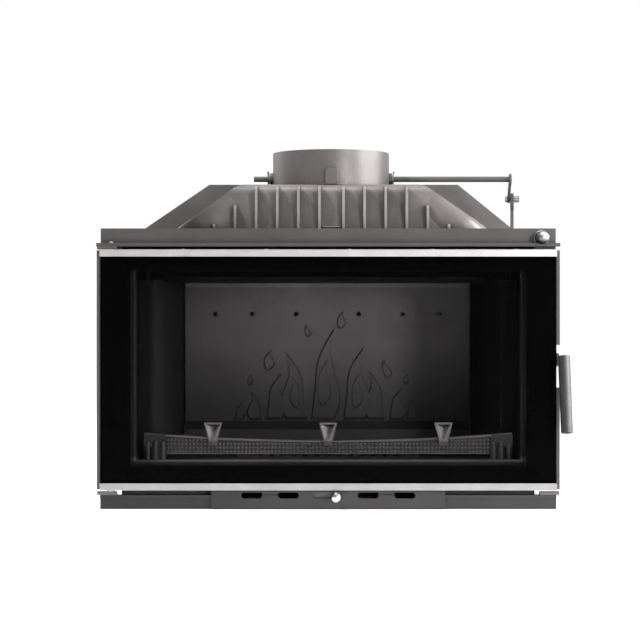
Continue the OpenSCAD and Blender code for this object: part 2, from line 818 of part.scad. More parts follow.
// Four claws inside the hood: each hooks under the collar's tail and is screwed up to the hood's roof
claw_w = 18;
claw_t = 5;
claw_hook = 5;
claw_reach = 16;
claw_angles = [45 : 90 : 315];
claw_bolt_d = 6;
claw_bolt_r = collar_tail_r + fit_gap + claw_reach / 2;
claw_bolt_grip = 4;
claw_head_h = 4;
tail_z = hood_top_z - collar_tail_len;
module claw_places() {
    for (a = claw_angles) rotate(a) children();
}
module collar_claws() {
    heel = collar_tail_r + fit_gap;
    color("darkgray") translate([hood_shift, flue_y, 0]) claw_places() difference() {
        plate_y(-claw_w / 2, claw_w / 2) polygon([
            [collar_tail_r - claw_hook, tail_z - claw_t], [heel + claw_reach, tail_z - claw_t],
            [heel + claw_reach, hood_top_z - hood_wall], [heel, hood_top_z - hood_wall],
            [heel, tail_z], [collar_tail_r - claw_hook, tail_z]]);
        rod_z([claw_bolt_r, 0, tail_z - claw_t - over], claw_bolt_d / 2 + run_gap, collar_tail_len + claw_t);
    }
}
module collar_bolts() {
    shank = hood_top_z - hood_wall + claw_bolt_grip - tail_z + claw_t;
    color("silver") translate([hood_shift, flue_y, 0]) claw_places() translate([claw_bolt_r, 0, 0]) {
        rod_z([0, 0, tail_z - claw_t], claw_bolt_d / 2, shank);
        translate([0, 0, tail_z - claw_t - claw_head_h]) hex_head(claw_bolt_d * 1.6, claw_head_h);
    }
}

// Rear lining: a smooth plate with six air holes and a ledge along its foot
air_hole_rise = 250;
air_hole_z = hearth_z + air_hole_rise;
air_hole_shares = [0.22, 0.53, 0.79];
lining_ledge = 15;
lining_ledge_h = 50;
lining_back_gap = 42;
back_face_y = rear_face_y - lining_back_gap - back_lining_t;
lining_pad_x = 98;
lining_pad_w = 24;
module back_lining() {
    color("dimgray") difference() {
        union() {
            plate_x(-back_lining_half, back_lining_half) polygon([
                [back_face_y - lining_ledge, hearth_z], [back_face_y + back_lining_t, hearth_z],
                [back_face_y + back_lining_t, hearth_z + lining_h], [back_face_y, hearth_z + lining_h],
                [back_face_y, hearth_z + lining_ledge_h],
                [back_face_y - lining_ledge, hearth_z + lining_ledge_h - lining_ledge]]);
            for (side = [-1, 1]) translate([side * lining_pad_x, 0, 0])
                centred_block(lining_pad_w / 2, back_face_y + back_lining_t / 2, rear_face_y,
                    hearth_z, hearth_z + lining_h);
        }
        for (side = [-1, 1], share = air_hole_shares)
            rod_y([side * share * back_lining_half, back_face_y - over, air_hole_z], air_hole_d / 2,
                back_lining_t + 2 * over);
    }
}

// Side lining: a plate that closes in towards the back, with a front cheek that clears the fence
lining_rear_gap = 3;
lining_rear_half = back_lining_half + lining_rear_gap;
cheek_depth = 21;
flare_depth = 18;
flare_gap = 1;
flare_half = mouth_half - flare_gap;
cheek_y = rim_back_y + cheek_depth;
side_front_y = cheek_y + flare_depth;
module side_lining(side) {
    back = back_face_y + back_lining_t;
    color("dimgray") translate([0, 0, hearth_z]) linear_extrude(lining_h) polygon([
        [side * flare_half, rim_back_y],
        [side * flare_half, cheek_y],
        [side * lining_front_half, side_front_y],
        [side * lining_rear_half, back],
        [side * (lining_rear_half + side_lining_t), back],
        [side * (lining_front_half + side_lining_t), side_front_y + side_lining_t],
        [side * (flare_half + side_lining_t / 2), cheek_y],
        [side * (flare_half + side_lining_t / 2), rim_back_y]]);
}
module side_lining_left() { side_lining(-1); }
module side_lining_right() { side_lining(1); }

// Lower baffle, a slab on the linings that narrows with them towards the back
baffle_z = hearth_z + lining_h;
baffle_back_y = back_face_y + back_lining_t;
function lining_x(y) = lining_front_half
    + (lining_rear_half - lining_front_half) * (y - side_front_y) / (baffle_back_y - side_front_y);
module baffle() {
    front = baffle_back_y - baffle_d;
    a = lining_x(front) + side_lining_t * 0.8;
    b = lining_x(baffle_back_y) + side_lining_t * 0.8;
    color("gray") translate([0, 0, baffle_z]) linear_extrude(baffle_t)
        polygon([[-a, front], [a, front], [b, baffle_back_y], [-b, baffle_back_y]]);
}

// Brackets on the side walls, which carry the upper baffle
bracket_t = 5;
bracket_reach = 60;
bracket_d = 150;
upper_baffle_rise = 32;
upper_baffle_z = baffle_z + upper_baffle_rise;
upper_baffle_inset = 18;
bracket_front = 24;
bracket_y = rim_back_y + bracket_front;
module baffle_brackets() {
    y0 = bracket_y;
    color("gray") for (side = [-1, 1]) {
        outer = side * wall_in;
        inner = side * (wall_in - bracket_reach);
        block([min(outer, inner), y0, upper_baffle_z - bracket_t],
            [max(outer, inner), y0 + bracket_d, upper_baffle_z]);
        plate_y(y0, y0 + bracket_t) polygon([
            [outer, upper_baffle_z - bracket_t], [inner, upper_baffle_z - bracket_t],
            [outer, upper_baffle_z - bracket_t * 4]]);
    }
}
module upper_baffle() {
    color("gray") centred_block(wall_in - upper_baffle_inset, bracket_y, bracket_y + bracket_d,
        upper_baffle_z, upper_baffle_z + baffle_t);
}

// Log fence: an arched bar with three scoop-shaped catchers and end blocks on tapered feet
foot_r = 7;
foot_space = 4;
fence_front_gap = 1;
fence_half = flare_half - fence_end_gap;
fence_y = rim_back_y + foot_r + fence_t / 2 + fence_front_gap;
fence_foot_gap = 10;
fence_end_w = 36;
fence_end_reach = 5;
fence_end_step = 3;
catcher_x = 196;
catcher_h = 32;
catcher_top_w = 30.6;
catcher_foot_w = 14.5;
catcher_rise = 32.5;
catcher_z = hearth_z + catcher_rise;
catcher_reach = 12;
catcher_wall = 3;
catcher_neck = 7;
function fence_drop(x) = (fence_end_h - fence_mid_h) * (1 - pow(x / fence_half, 2));
fence_arc_steps = 24;
module fence_outline() {
    arc = [for (i = [fence_arc_steps : -1 : -fence_arc_steps])
        let (x = fence_half * i / fence_arc_steps) [x, hearth_z + fence_end_h - fence_drop(x)]];
    polygon(concat([[-fence_half, hearth_z + fence_foot_gap], [fence_half, hearth_z + fence_foot_gap]], arc));
}
// A catcher is a scoop: a tapered block with a trough down its face
module catcher(x) {
    wall = catcher_wall;
    face = fence_y - fence_t / 2 - catcher_reach;
    translate([x, 0, catcher_z]) difference() {
        plate_y(face, fence_y - fence_t / 2) polygon([
            [-catcher_foot_w / 2, 0], [catcher_foot_w / 2, 0],
            [catcher_top_w / 2, catcher_h], [-catcher_top_w / 2, catcher_h]]);
        plate_y(face - over, face + catcher_reach - wall) polygon([
            [0, wall], [catcher_foot_w / 2 - wall / 2, wall * 2],
            [catcher_top_w / 2 - wall, catcher_h - wall], [-catcher_top_w / 2 + wall, catcher_h - wall],
            [-catcher_foot_w / 2 + wall / 2, wall * 2]]);
    }
}
module log_fence() {
    color("gray") {
        plate_y(fence_y - fence_t / 2, fence_y + fence_t / 2) fence_outline();
        for (side = [-1, 1], step = [0, 1]) {
            x = side * (fence_half - foot_r - step * (2 * foot_r + foot_space));
            translate([x, fence_y - fence_t / 2, hearth_z])
                cylinder(r1 = foot_r, r2 = foot_r * 0.7, h = fence_end_h * 0.66);
            block([x - foot_r / 2, fence_y - fence_t / 2, hearth_z],
                [x + foot_r / 2, fence_y + fence_t / 2, hearth_z + fence_foot_gap]);
        }
        for (side = [-1, 1]) translate([side * (fence_half - fence_end_w / 2), 0, hearth_z])
            centred_block(fence_end_w / 2, fence_y - fence_t / 2 - fence_end_reach,
                fence_y + fence_t / 2, fence_end_h / 2, fence_end_h - fence_end_step);
        for (x = [-catcher_x, 0, catcher_x]) {
            catcher(x);
            translate([x, 0, 0]) centred_block(catcher_foot_w / 2, fence_y - fence_t / 2 - catcher_neck,
                fence_y + fence_t / 2, catcher_z - catcher_neck, catcher_z + catcher_neck);
        }
    }
}

// Brackets at the ends of the beam and the rail: two carry the hinge, one lifts the closed door
bracket_len = 34;
bracket_clear = 0.8;
bracket_drop = beam_z - door_top - bracket_clear;
bracket_back_y = front_y - rope_gap;
module hinge_bracket_top() {
    color("dimgray") difference() {
        block([-door_half, beam_lip_y, beam_z - bracket_drop],
            [-door_half + bracket_len, bracket_back_y, beam_z]);
        rod_z([hinge_x, hinge_y, beam_z - bracket_drop - over], hinge_pin_d / 2, bracket_drop + 2 * over);
    }
}
low_bracket_z = rail_side_h + rail_lip_h;
low_bracket_h = 6;
module low_bracket(side) {
    x0 = side > 0 ? door_half - bracket_len : -door_half;
    block([x0, rail_lip_y, low_bracket_z], [x0 + bracket_len, bracket_back_y, low_bracket_z + low_bracket_h]);
}
module hinge_bracket_bottom() {
    color("dimgray") difference() {
        low_bracket(-1);
        rod_z([hinge_x, hinge_y, low_bracket_z - over], hinge_pin_d / 2, low_bracket_h + 2 * over);
    }
}
module door_rest() {
    color("dimgray") low_bracket(1);
}

// Two hinge pins: the upper one hangs from its domed head, the lower one stands on the rail's lip
pin_depth = 20;
pin_tip_gap = 2;
pin_head_d = 11;
pin_dome_h = 3.5;
washer_gap = 0.1;
washer_lap = 2.5;
washer_r = hinge_pin_d / 2 + washer_lap;
module hinge_pins() {
    r = hinge_pin_d / 2;
    top = beam_z + beam_lip_h;
    washer_z = low_bracket_z + low_bracket_h;
    color("silver") {
        rod_z([hinge_x, hinge_y, door_top - pin_depth], r, top - door_top + pin_depth);
        translate([hinge_x, hinge_y, top]) intersection() {
            translate([0, 0, pin_dome_h - pin_head_d / 2]) sphere(d = pin_head_d);
            rod_z([0, 0, 0], pin_head_d, pin_dome_h);
        }
        rod_z([hinge_x, hinge_y, low_bracket_z], r, door_z - low_bracket_z + pin_depth);
        rod_z([hinge_x, hinge_y, washer_z], washer_r, frame_z0 - washer_gap - washer_z);
    }
}

// Stud on the body's right side, which the latch lever hooks under
keeper_setback = 28;
keeper_rise = 6;
keeper_tip_out = 1;
keeper_y = front_y + keeper_setback;
keeper_z = lever_z + keeper_rise;
keeper_d = 10;
keeper_tip_x = door_half + keeper_tip_out;
keeper_flange_t = 4;
module latch_keeper() {
    color("silver") {
        rod_x([half_w, keeper_y, keeper_z], keeper_d / 2, keeper_tip_x - half_w);
        rod_x([half_w, keeper_y, keeper_z], keeper_d, keeper_flange_t);
    }
}

// Four tie rods inside the corners, which clamp the walls between the base and the top plate
tie_rod_d = 7;
tie_rod_in = 6;
tie_rod_grip = 10;
tie_rod_front = 12;
tie_rod_rear = 26;
nut_flats = 13;
nut_h = 5.5;
module tie_rod_places() {
    for (side = [-1, 1], y = [rim_back_y + tie_rod_front, rear_face_y - tie_rod_rear])
        translate([side * (wall_in - tie_rod_in), y, 0]) children();
}
module tie_rods() {
    color("silver") tie_rod_places() {
        rod_z([0, 0, base_h - tie_rod_grip], tie_rod_d / 2, top_z + nut_h - base_h + tie_rod_grip);
        translate([0, 0, top_z]) hex_head(nut_flats, nut_h);
    }
}

// Six screws through the rear wall into the side walls' flanges
rear_bolt_d = 6;
rear_bolt_head = 10;
rear_bolt_in = 30;
rear_bolt_zs = [base_h + rear_bolt_in, (base_h + beam_z) / 2, beam_z - rear_bolt_in];
module rear_bolt_places() {
    for (side = [-1, 1], z = rear_bolt_zs) translate([side * (half_w - flange_w / 2), 0, z]) children();
}
module rear_bolts() {
    color("silver") rear_bolt_places() {
        rod_y([0, rear_face_y - flange_d, 0], rear_bolt_d / 2, flange_d + rear_wall_t);
        translate([0, rear_y, 0]) rotate([-90, 0, 0]) hex_head(rear_bolt_head, nut_h);
    }
}

// Guide for the damper pull, an angle on the top plate with a bore
guide_setback = 100;
guide_y = front_y + guide_setback;
guide_plate_t = 6;
guide_foot_len = 20;
guide_foot_t = 4;
guide_foot_w = 30;
guide_in_x = half_w - guide_foot_w;
guide_out_x = pull_x + pull_rod_d;
guide_screw_d = 5;
guide_screw_in = 16;
guide_screw_x = half_w - guide_screw_in;
guide_screw_y = guide_y - guide_foot_len / 2;
guide_head_h = 3;
module rod_guide() {
    high = pull_z + pull_rod_d;
    color("gray") difference() {
        union() {
            block([guide_in_x, guide_y, top_z], [guide_out_x, guide_y + guide_plate_t, high]);
            block([guide_in_x, guide_y - guide_foot_len, top_z], [half_w, guide_y, top_z + guide_foot_t]);
        }
        rod_y([pull_x, guide_y - over, pull_z], pull_rod_d / 2 + run_gap, guide_plate_t + 2 * over);
        rod_z([guide_screw_x, guide_screw_y, top_z - over], guide_screw_d / 2 + run_gap,
            guide_foot_t + 2 * over);
    }
}
module guide_screw() {
    color("silver") {
        rod_z([guide_screw_x, guide_screw_y, beam_z], guide_screw_d / 2, top_plate_t + guide_foot_t);
        rod_z([guide_screw_x, guide_screw_y, top_z + guide_foot_t], guide_screw_d, guide_head_h);
    }
}

// Damper pull: a rod through the beam, bent inwards at its rear end to reach the link
pull_knob_gap = 1;
pull_knob_y = beam_face_y - pull_knob_gap;
pull_end_y = pin_y;
pull_neck_d = 12;
pull_neck_len = 12;
module pull_rod() {
    r = pull_rod_d / 2;
    color("silver") {
        rod_y([pull_x, pull_knob_y, pull_z], r, pull_end_y - pull_knob_y);
        translate([pull_x, pull_end_y, pull_z]) sphere(r);
        rod_x([link_x, pull_end_y, pull_z], r, pull_x - link_x);
    }
}
module pull_knob() {
    color("silver") translate([pull_x, pull_knob_y, pull_z])
        ball_knob(pull_knob_d, pull_foot_d, pull_neck_d, pull_neck_len);
}

// Link: an upright flat bar with a slotted head that holds the crank pin
link_w = 11;
link_head_w = 20;
slot_clear_y = 1.4;
slot_clear_z = 0.8;
pin_drop = crank_len * (1 - cos(crank_lean));
module pull_link() {
    slot_r = crank_pin_d / 2 + slot_clear_y;
    slot_low = [pull_end_y, pin_z - pin_drop - slot_clear_z];
    slot_high = [pull_end_y, pin_z + slot_clear_z];
    color("gray") difference() {
        plate_x(link_x, link_x + link_t) {
            round_bar([pull_end_y, pull_z], slot_low, link_w / 2);
            round_bar(slot_low, slot_high, link_head_w / 2);
        }
        plate_x(link_x - over, link_x + link_t + over) {
            round_bar(slot_low, slot_high, slot_r);
            translate([pull_end_y, pull_z]) circle(pull_rod_d / 2);
        }
    }
}

// Damper: shaft, disc, crank and the pin that runs in the link's slot
shaft_left_out = 34.5;
shaft_left_x = hood_shift - collar_r - shaft_left_out;
shaft_right_x = crank_x + crank_t;
shaft_flat = 1;
disc_t = 4;
disc_z = shaft_z + shaft_r - shaft_flat;
screw_d = 5;
screw_x = 50;
screw_grip = 5;
screw_head_h = 2.5;
module cotter_places() {
    for (side = [-1, 1]) translate([hood_shift + side * (collar_r + boss_reach + cotter_out), flue_y, 0])
        children();
}
module disc_screw_places() {
    for (side = [-1, 1]) translate([hood_shift + side * screw_x, flue_y, 0]) children();
}
module damper_shaft() {
    color("gray") difference() {
        rod_x([shaft_left_x, flue_y, shaft_z], shaft_r, shaft_right_x - shaft_left_x);
        translate([hood_shift, flue_y, disc_z])
            centred_block(disc_d / 2 + fit_gap, -shaft_r - over, shaft_r + over, 0, shaft_r);
        cotter_places() rod_z([0, 0, shaft_z - shaft_d], cotter_d / 2, 2 * shaft_d);
        disc_screw_places() rod_z([0, 0, disc_z - screw_grip], screw_d / 2, screw_grip + over);
    }
}
module damper_disc() {
    color("dimgray") difference() {
        translate([hood_shift, flue_y, disc_z]) cylinder(d = disc_d, h = disc_t, $fn = 96);
        disc_screw_places() rod_z([0, 0, disc_z - over], screw_d / 2 + run_gap, disc_t + 2 * over);
    }
}
module disc_screws() {
    color("silver") disc_screw_places() {
        rod_z([0, 0, disc_z - screw_grip], screw_d / 2, screw_grip + disc_t);
        rod_z([0, 0, disc_z + disc_t], screw_d, screw_head_h);
    }
}
crank_end_r = 10;
crank_tip_r = 7;
module damper_crank() {
    color("gray") difference() {
        plate_x(crank_x, crank_x + crank_t) {
            translate([flue_y, shaft_z]) circle(crank_end_r);
            round_bar([flue_y, shaft_z], [pin_y, pin_z], crank_tip_r);
        }
        plate_x(crank_x - over, crank_x + crank_t + over) {
            translate([flue_y, shaft_z]) circle(shaft_r);
            translate([pin_y, pin_z]) circle(crank_pin_d / 2);
        }
    }
}
pin_head_t = 10;
pin_nut_t = 4;
pin_head_gap = 0.4;
module crank_pin() {
    outer_x = link_x + link_t + pin_head_gap;
    color("silver") {
        rod_x([crank_x - pin_nut_t, pin_y, pin_z], crank_pin_d / 2, outer_x - crank_x + pin_nut_t + over);
        rod_x([outer_x, pin_y, pin_z], crank_pin_d, pin_head_t);
        translate([crank_x - pin_nut_t, pin_y, pin_z]) rotate([0, 90, 0])
            hex_head(crank_pin_d * 1.6, pin_nut_t);
    }
}
// Washers and split pins that keep the shaft in the collar's bosses
shaft_washer_t = 2;
shaft_washer_gap = 0.4;
cotter_d = 2.5;
cotter_len = 24;
cotter_gap = 0.2;
cotter_out = shaft_washer_gap + shaft_washer_t + cotter_gap + cotter_d / 2;
module shaft_washers() {
    inner = collar_r + boss_reach + shaft_washer_gap;
    color("silver") translate([hood_shift, flue_y, shaft_z]) for (side = [0, 180]) rotate(side)
        difference() {
            rod_x([inner, 0, 0], shaft_d * 0.9, shaft_washer_t);
            rod_x([inner - over, 0, 0], shaft_r, shaft_washer_t + 2 * over);
        }
}
module shaft_cotters() {
    color("dimgray") cotter_places() {
        rod_z([0, 0, shaft_z - cotter_len / 2], cotter_d / 2, cotter_len);
        translate([0, 0, shaft_z + cotter_len / 2]) sphere(cotter_d * 0.9);
    }
}

// Door frame: a cast plate with a window, a groove for the rope and a notch for the latch lever
notch_below = 47;
notch_above = 25;
notch_z0 = lever_z - notch_below;
notch_z1 = lever_z + notch_above;
notch_depth = 6;
rope_groove = 4;
rope_side_in = 7.5;
rope_low_in = 8;
rope_high_in = 19;
rope_side = half_w - rope_side_in;
rope_low = base_h - rope_low_in;
rope_high = beam_z - rope_high_in;
rope_bend = rope_d;
window_corner_r = 10;
module rounded_rect(half, low, high, r) {
    for (side = [-1, 1], z = [low + r, high - r]) translate([side * (half - r), z]) circle(r);
    translate([-half, low + r]) square([2 * half, high - low - 2 * r]);
    translate([-half + r, low]) square([2 * half - 2 * r, high - low]);
}
module arced_rect(half, low, high, r) {
    polygon(concat(
        arc([half - r, high - r], r, 0, 90), arc([-half + r, high - r], r, 90, 180),
        arc([-half + r, low + r], r, 180, 270), arc([half - r, low + r], r, 270, 360)));
}
module door_frame() {
    groove = (rope_d + 2 * fit_gap) / 2;
    color([0.16, 0.16, 0.16]) difference() {
        centred_block(door_half, frame_front_y, frame_back_y, frame_z0, frame_z1);
        plate_y(frame_front_y - over, frame_back_y + over)
            rounded_rect(window_half, window_z0, window_z1, window_corner_r);
        block([door_half - notch_depth, frame_front_y - over, notch_z0],
            [door_half + over, frame_back_y + over, notch_z1]);
        difference() {
            plate_y(frame_back_y - rope_groove, frame_back_y + over)
                arced_rect(rope_side + groove, rope_low - groove, rope_high + groove, rope_bend);
            plate_y(frame_back_y - rope_groove - over, frame_back_y + 2 * over)
                arced_rect(rope_side - groove, rope_low + groove, rope_high - groove, rope_bend - groove);
        }
        for (z = [frame_z0 - over, door_top - pin_depth - pin_tip_gap])
            rod_z([hinge_x, hinge_y, z], hinge_pin_d / 2 + run_gap, pin_depth + pin_tip_gap + over);
        for (x = trim_screw_xs) {
            rod_z([x, trim_screw_y, frame_z0 - over], trim_screw_d / 2, screw_hole_len + over);
            rod_z([x, trim_screw_y, frame_z1 - screw_hole_len], trim_screw_d / 2, screw_hole_len + over);
        }
        rod_x([door_half - notch_depth - lever_bolt_len, hinge_y, lever_z], lever_bolt_d / 2,
            lever_bolt_len + over);
    }
}

// Rope seal in its groove, a round rope with bent corners
module rope_seal() {
    r = rope_d / 2;
    y = frame_back_y - rope_groove + r;
    bend = rope_bend;
    color("ivory") difference() {
        union() {
            for (z = [rope_low, rope_high]) rod_x([-rope_side + bend, y, z], r, 2 * (rope_side - bend));
            for (side = [-1, 1])
                rod_z([side * rope_side, y, rope_low + bend], r, rope_high - rope_low - 2 * bend);
            for (corner = [[1, 1, 0], [-1, 1, 90], [-1, -1, 180], [1, -1, 270]])
                translate([corner[0] * (rope_side - bend), y,
                    corner[1] > 0 ? rope_high - bend : rope_low + bend])
                    rotate([90, 0, 0]) rotate(corner[2])
                        rotate_extrude(angle = 90) translate([bend, 0]) circle(r);
        }
        centred_block(half_w + over, front_y - fit_gap, front_y + rope_d, 0, beam_z);
    }
}

// Glass, its flat gasket and the steel trims that cap its upper and lower edges
glass_edge_gap = 0.2;
module door_glass() {
    color([0.06, 0.06, 0.06, 0.5]) centred_block(glass_half, glass_front_y, glass_back_y,
        frame_z0 + glass_edge_gap, frame_z1 - glass_edge_gap);
}
gasket_w = 24;
gasket_inset = 6;
module glass_gasket() {
    color("dimgray") difference() {
        centred_block(window_half + gasket_inset + gasket_w, glass_back_y, frame_front_y,
            window_z0 - gasket_w, window_z1 + gasket_w);
        centred_block(window_half + gasket_inset, glass_back_y - over, frame_front_y + over,
            window_z0 - gasket_inset, window_z1 + gasket_inset);
    }
}
trim_web = 17;
trim_screw_in = 4;
trim_screw_y = frame_front_y + trim_screw_in;
trim_screw_d = 4;
screw_hole_len = 10;
trim_screw_count = 3;
trim_screw_pitch = 140;
trim_screw_xs = [for (i = [-(trim_screw_count - 1) : trim_screw_count - 1])
    (i + 1 / 4) * trim_screw_pitch];
// A trim is an angle: a front lip over the glass and a web over the door frame's edge
module trim(edge_z, inward) {
    lip_y = glass_front_y - trim_t;
    low = inward > 0 ? edge_z : edge_z - trim_h;
    web = inward > 0 ? edge_z : edge_z - trim_t;
    color("lightgray") difference() {
        union() {
            centred_block(glass_half, lip_y, lip_y + trim_t, low, low + trim_h);
            centred_block(glass_half, lip_y, lip_y + trim_web, web, web + trim_t);
        }
        for (x = trim_screw_xs)
            rod_z([x, trim_screw_y, web - over], trim_screw_d / 2 + run_gap, trim_t + 2 * over);
        rod_z([hinge_x, hinge_y, web - over], washer_r + fit_gap, trim_t + 2 * over);
    }
}
module trim_top() { trim(door_top, -1); }
module trim_bottom() { trim(door_z, 1); }
trim_head_h = 1.2;
module trim_screws() {
    r = trim_screw_d / 2;
    color("silver") for (x = trim_screw_xs) {
        rod_z([x, trim_screw_y, frame_z1 - screw_hole_len], r, screw_hole_len + trim_t);
        rod_z([x, trim_screw_y, door_top], r * 1.8, trim_head_h);
        rod_z([x, trim_screw_y, door_z], r, screw_hole_len + trim_t);
    }
}

// Latch lever: a plate on a bolt in the door frame's side, with a hook behind and the handle in front
lever_gap = 0.9;
lever_x = door_half - notch_depth + lever_gap;
lever_bolt_d = 7;
lever_bolt_len = 22;
lever_hub_r = 11;
lever_head_t = 2;
module lever_bolt() {
    x = door_half - notch_depth - lever_bolt_len;
    color("silver") {
        rod_x([x, hinge_y, lever_z], lever_bolt_d / 2, lever_bolt_len + lever_gap + lever_t + fit_gap);
        rod_x([lever_x + lever_t + fit_gap, hinge_y, lever_z], lever_bolt_d, lever_head_t);
    }
}
hook_w = 8;
hook_gap = 0.5;
hook_rise = 5;
handle_out = 4.3;
handle_forward = 19.5;
handle_rise = 6.5;
handle_top = [door_half + handle_out, frame_front_y - handle_forward, lever_z + handle_rise];
arm_rise = 14;
module lever_outline() {
    under = keeper_z - keeper_d / 2 - hook_gap;
    arm_z = under - hook_rise - hook_w / 2;
    nose_z = lever_z - lever_hub_r / 2;
    tail_y = keeper_y + keeper_d / 2 + hook_w;
    translate([hinge_y, lever_z]) circle(lever_hub_r);
    round_bar([hinge_y, nose_z], [handle_top[1], nose_z], hook_w / 2);
    round_bar([hinge_y, nose_z], [hinge_y + arm_rise, arm_z], hook_w / 2);
    round_bar([hinge_y + arm_rise, arm_z], [tail_y, arm_z], hook_w / 2);
    translate([tail_y - hook_w / 2, arm_z]) square([hook_w, under - arm_z]);
}
module latch_lever() {
    color("gray") difference() {
        plate_x(lever_x, lever_x + lever_t) lever_outline();
        rod_x([lever_x - over, hinge_y, lever_z], lever_bolt_d / 2 + run_gap, lever_t + 2 * over);
    }
}

// Handle: a slanted steel tube closed by a cap at its lower end
module handle_frame() {
    translate(handle_top) rotate([-handle_lean_front, -handle_lean_out, 0]) mirror([0, 0, 1]) children();
}
handle_top_t = 3;
module handle_tube() {
    color("silver") difference() {
        handle_frame() difference() {
            cylinder(d = handle_d, h = handle_len);
            translate([0, 0, handle_top_t]) cylinder(d = handle_d - 2 * handle_wall, h = handle_len);
        }
        plate_x(lever_x - handle_wall, lever_x + lever_t) lever_outline();
    }
}
cap_inset = 3;
cap_len = 8;
module handle_cap() {
    color([0.1, 0.1, 0.1]) handle_frame() translate([0, 0, handle_len - cap_inset - cap_len])
        cylinder(d = handle_d - 2 * handle_wall, h = cap_len);
}

base_chamber();
hearth_plate();
grate();
ash_pan();
front_rail();
slider_guides();
front_rim();
side_wall_left();
side_wall_right();
rear_wall();
top_plate();
front_beam();
hood();
hood_bolts();
flue_collar();
collar_claws();
collar_bolts();
back_lining();
side_lining_left();
side_lining_right();
baffle();
upper_baffle();
baffle_brackets();
log_fence();
hinge_bracket_top();
hinge_bracket_bottom();
door_rest();
hinge_pins();
latch_keeper();
tie_rods();
rear_bolts();
rod_guide();
guide_screw();
air_slider();
air_knob();
pull_rod();
pull_knob();
pull_link();
damper_shaft();
damper_disc();
disc_screws();
damper_crank();
crank_pin();
shaft_washers();
shaft_cotters();
door_frame();
door_glass();
glass_gasket();
trim_top();
trim_bottom();
trim_screws();
rope_seal();
lever_bolt();
latch_lever();
handle_tube();
handle_cap();
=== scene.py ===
"""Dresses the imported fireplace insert.

It adds materials, soft cast edges, the printed glass, the relief, the fence's studs and the studio.
Everything is in metres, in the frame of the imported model: X to the right, Y to the back, Z up.
"""
import json
import math

import bmesh
import bpy
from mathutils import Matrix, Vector

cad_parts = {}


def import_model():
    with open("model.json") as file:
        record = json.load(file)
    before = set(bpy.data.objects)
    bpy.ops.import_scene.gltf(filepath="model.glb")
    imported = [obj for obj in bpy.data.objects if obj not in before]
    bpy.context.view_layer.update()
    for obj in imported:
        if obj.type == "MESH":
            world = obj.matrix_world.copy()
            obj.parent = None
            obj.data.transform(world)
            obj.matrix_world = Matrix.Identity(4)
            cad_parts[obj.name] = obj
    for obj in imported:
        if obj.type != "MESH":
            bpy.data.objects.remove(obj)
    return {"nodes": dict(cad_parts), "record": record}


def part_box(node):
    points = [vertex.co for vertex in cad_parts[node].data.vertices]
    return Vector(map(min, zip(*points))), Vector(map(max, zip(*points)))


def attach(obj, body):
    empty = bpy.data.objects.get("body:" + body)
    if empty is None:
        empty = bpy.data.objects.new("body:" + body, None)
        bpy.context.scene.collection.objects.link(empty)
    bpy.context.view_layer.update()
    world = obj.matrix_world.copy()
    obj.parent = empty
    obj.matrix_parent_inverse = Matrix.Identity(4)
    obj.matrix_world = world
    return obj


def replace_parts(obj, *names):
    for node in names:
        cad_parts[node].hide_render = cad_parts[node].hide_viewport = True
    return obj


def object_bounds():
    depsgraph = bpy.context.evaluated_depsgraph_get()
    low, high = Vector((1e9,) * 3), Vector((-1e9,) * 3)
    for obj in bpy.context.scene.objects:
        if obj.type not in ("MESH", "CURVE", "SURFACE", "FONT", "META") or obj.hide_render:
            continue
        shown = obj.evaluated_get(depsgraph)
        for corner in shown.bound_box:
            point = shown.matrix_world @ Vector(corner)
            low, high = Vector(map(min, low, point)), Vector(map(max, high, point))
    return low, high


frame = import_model()
NODES = frame["nodes"]
CAD_BOX = [list(corner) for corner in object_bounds()]
MM = 0.001


# Node helpers

# Sockets of the colour mix node
MIX_A, MIX_B, MIX_RESULT = 6, 7, 2
# Where a mottled colour is at its weakest and its strongest
MOTTLE_LOW, MOTTLE_HIGH = 0.3, 0.7


def grey(tone):
    return (tone, tone, tone)


def shade(colour, factor):
    return tuple(min(1.0, part * factor) for part in colour)


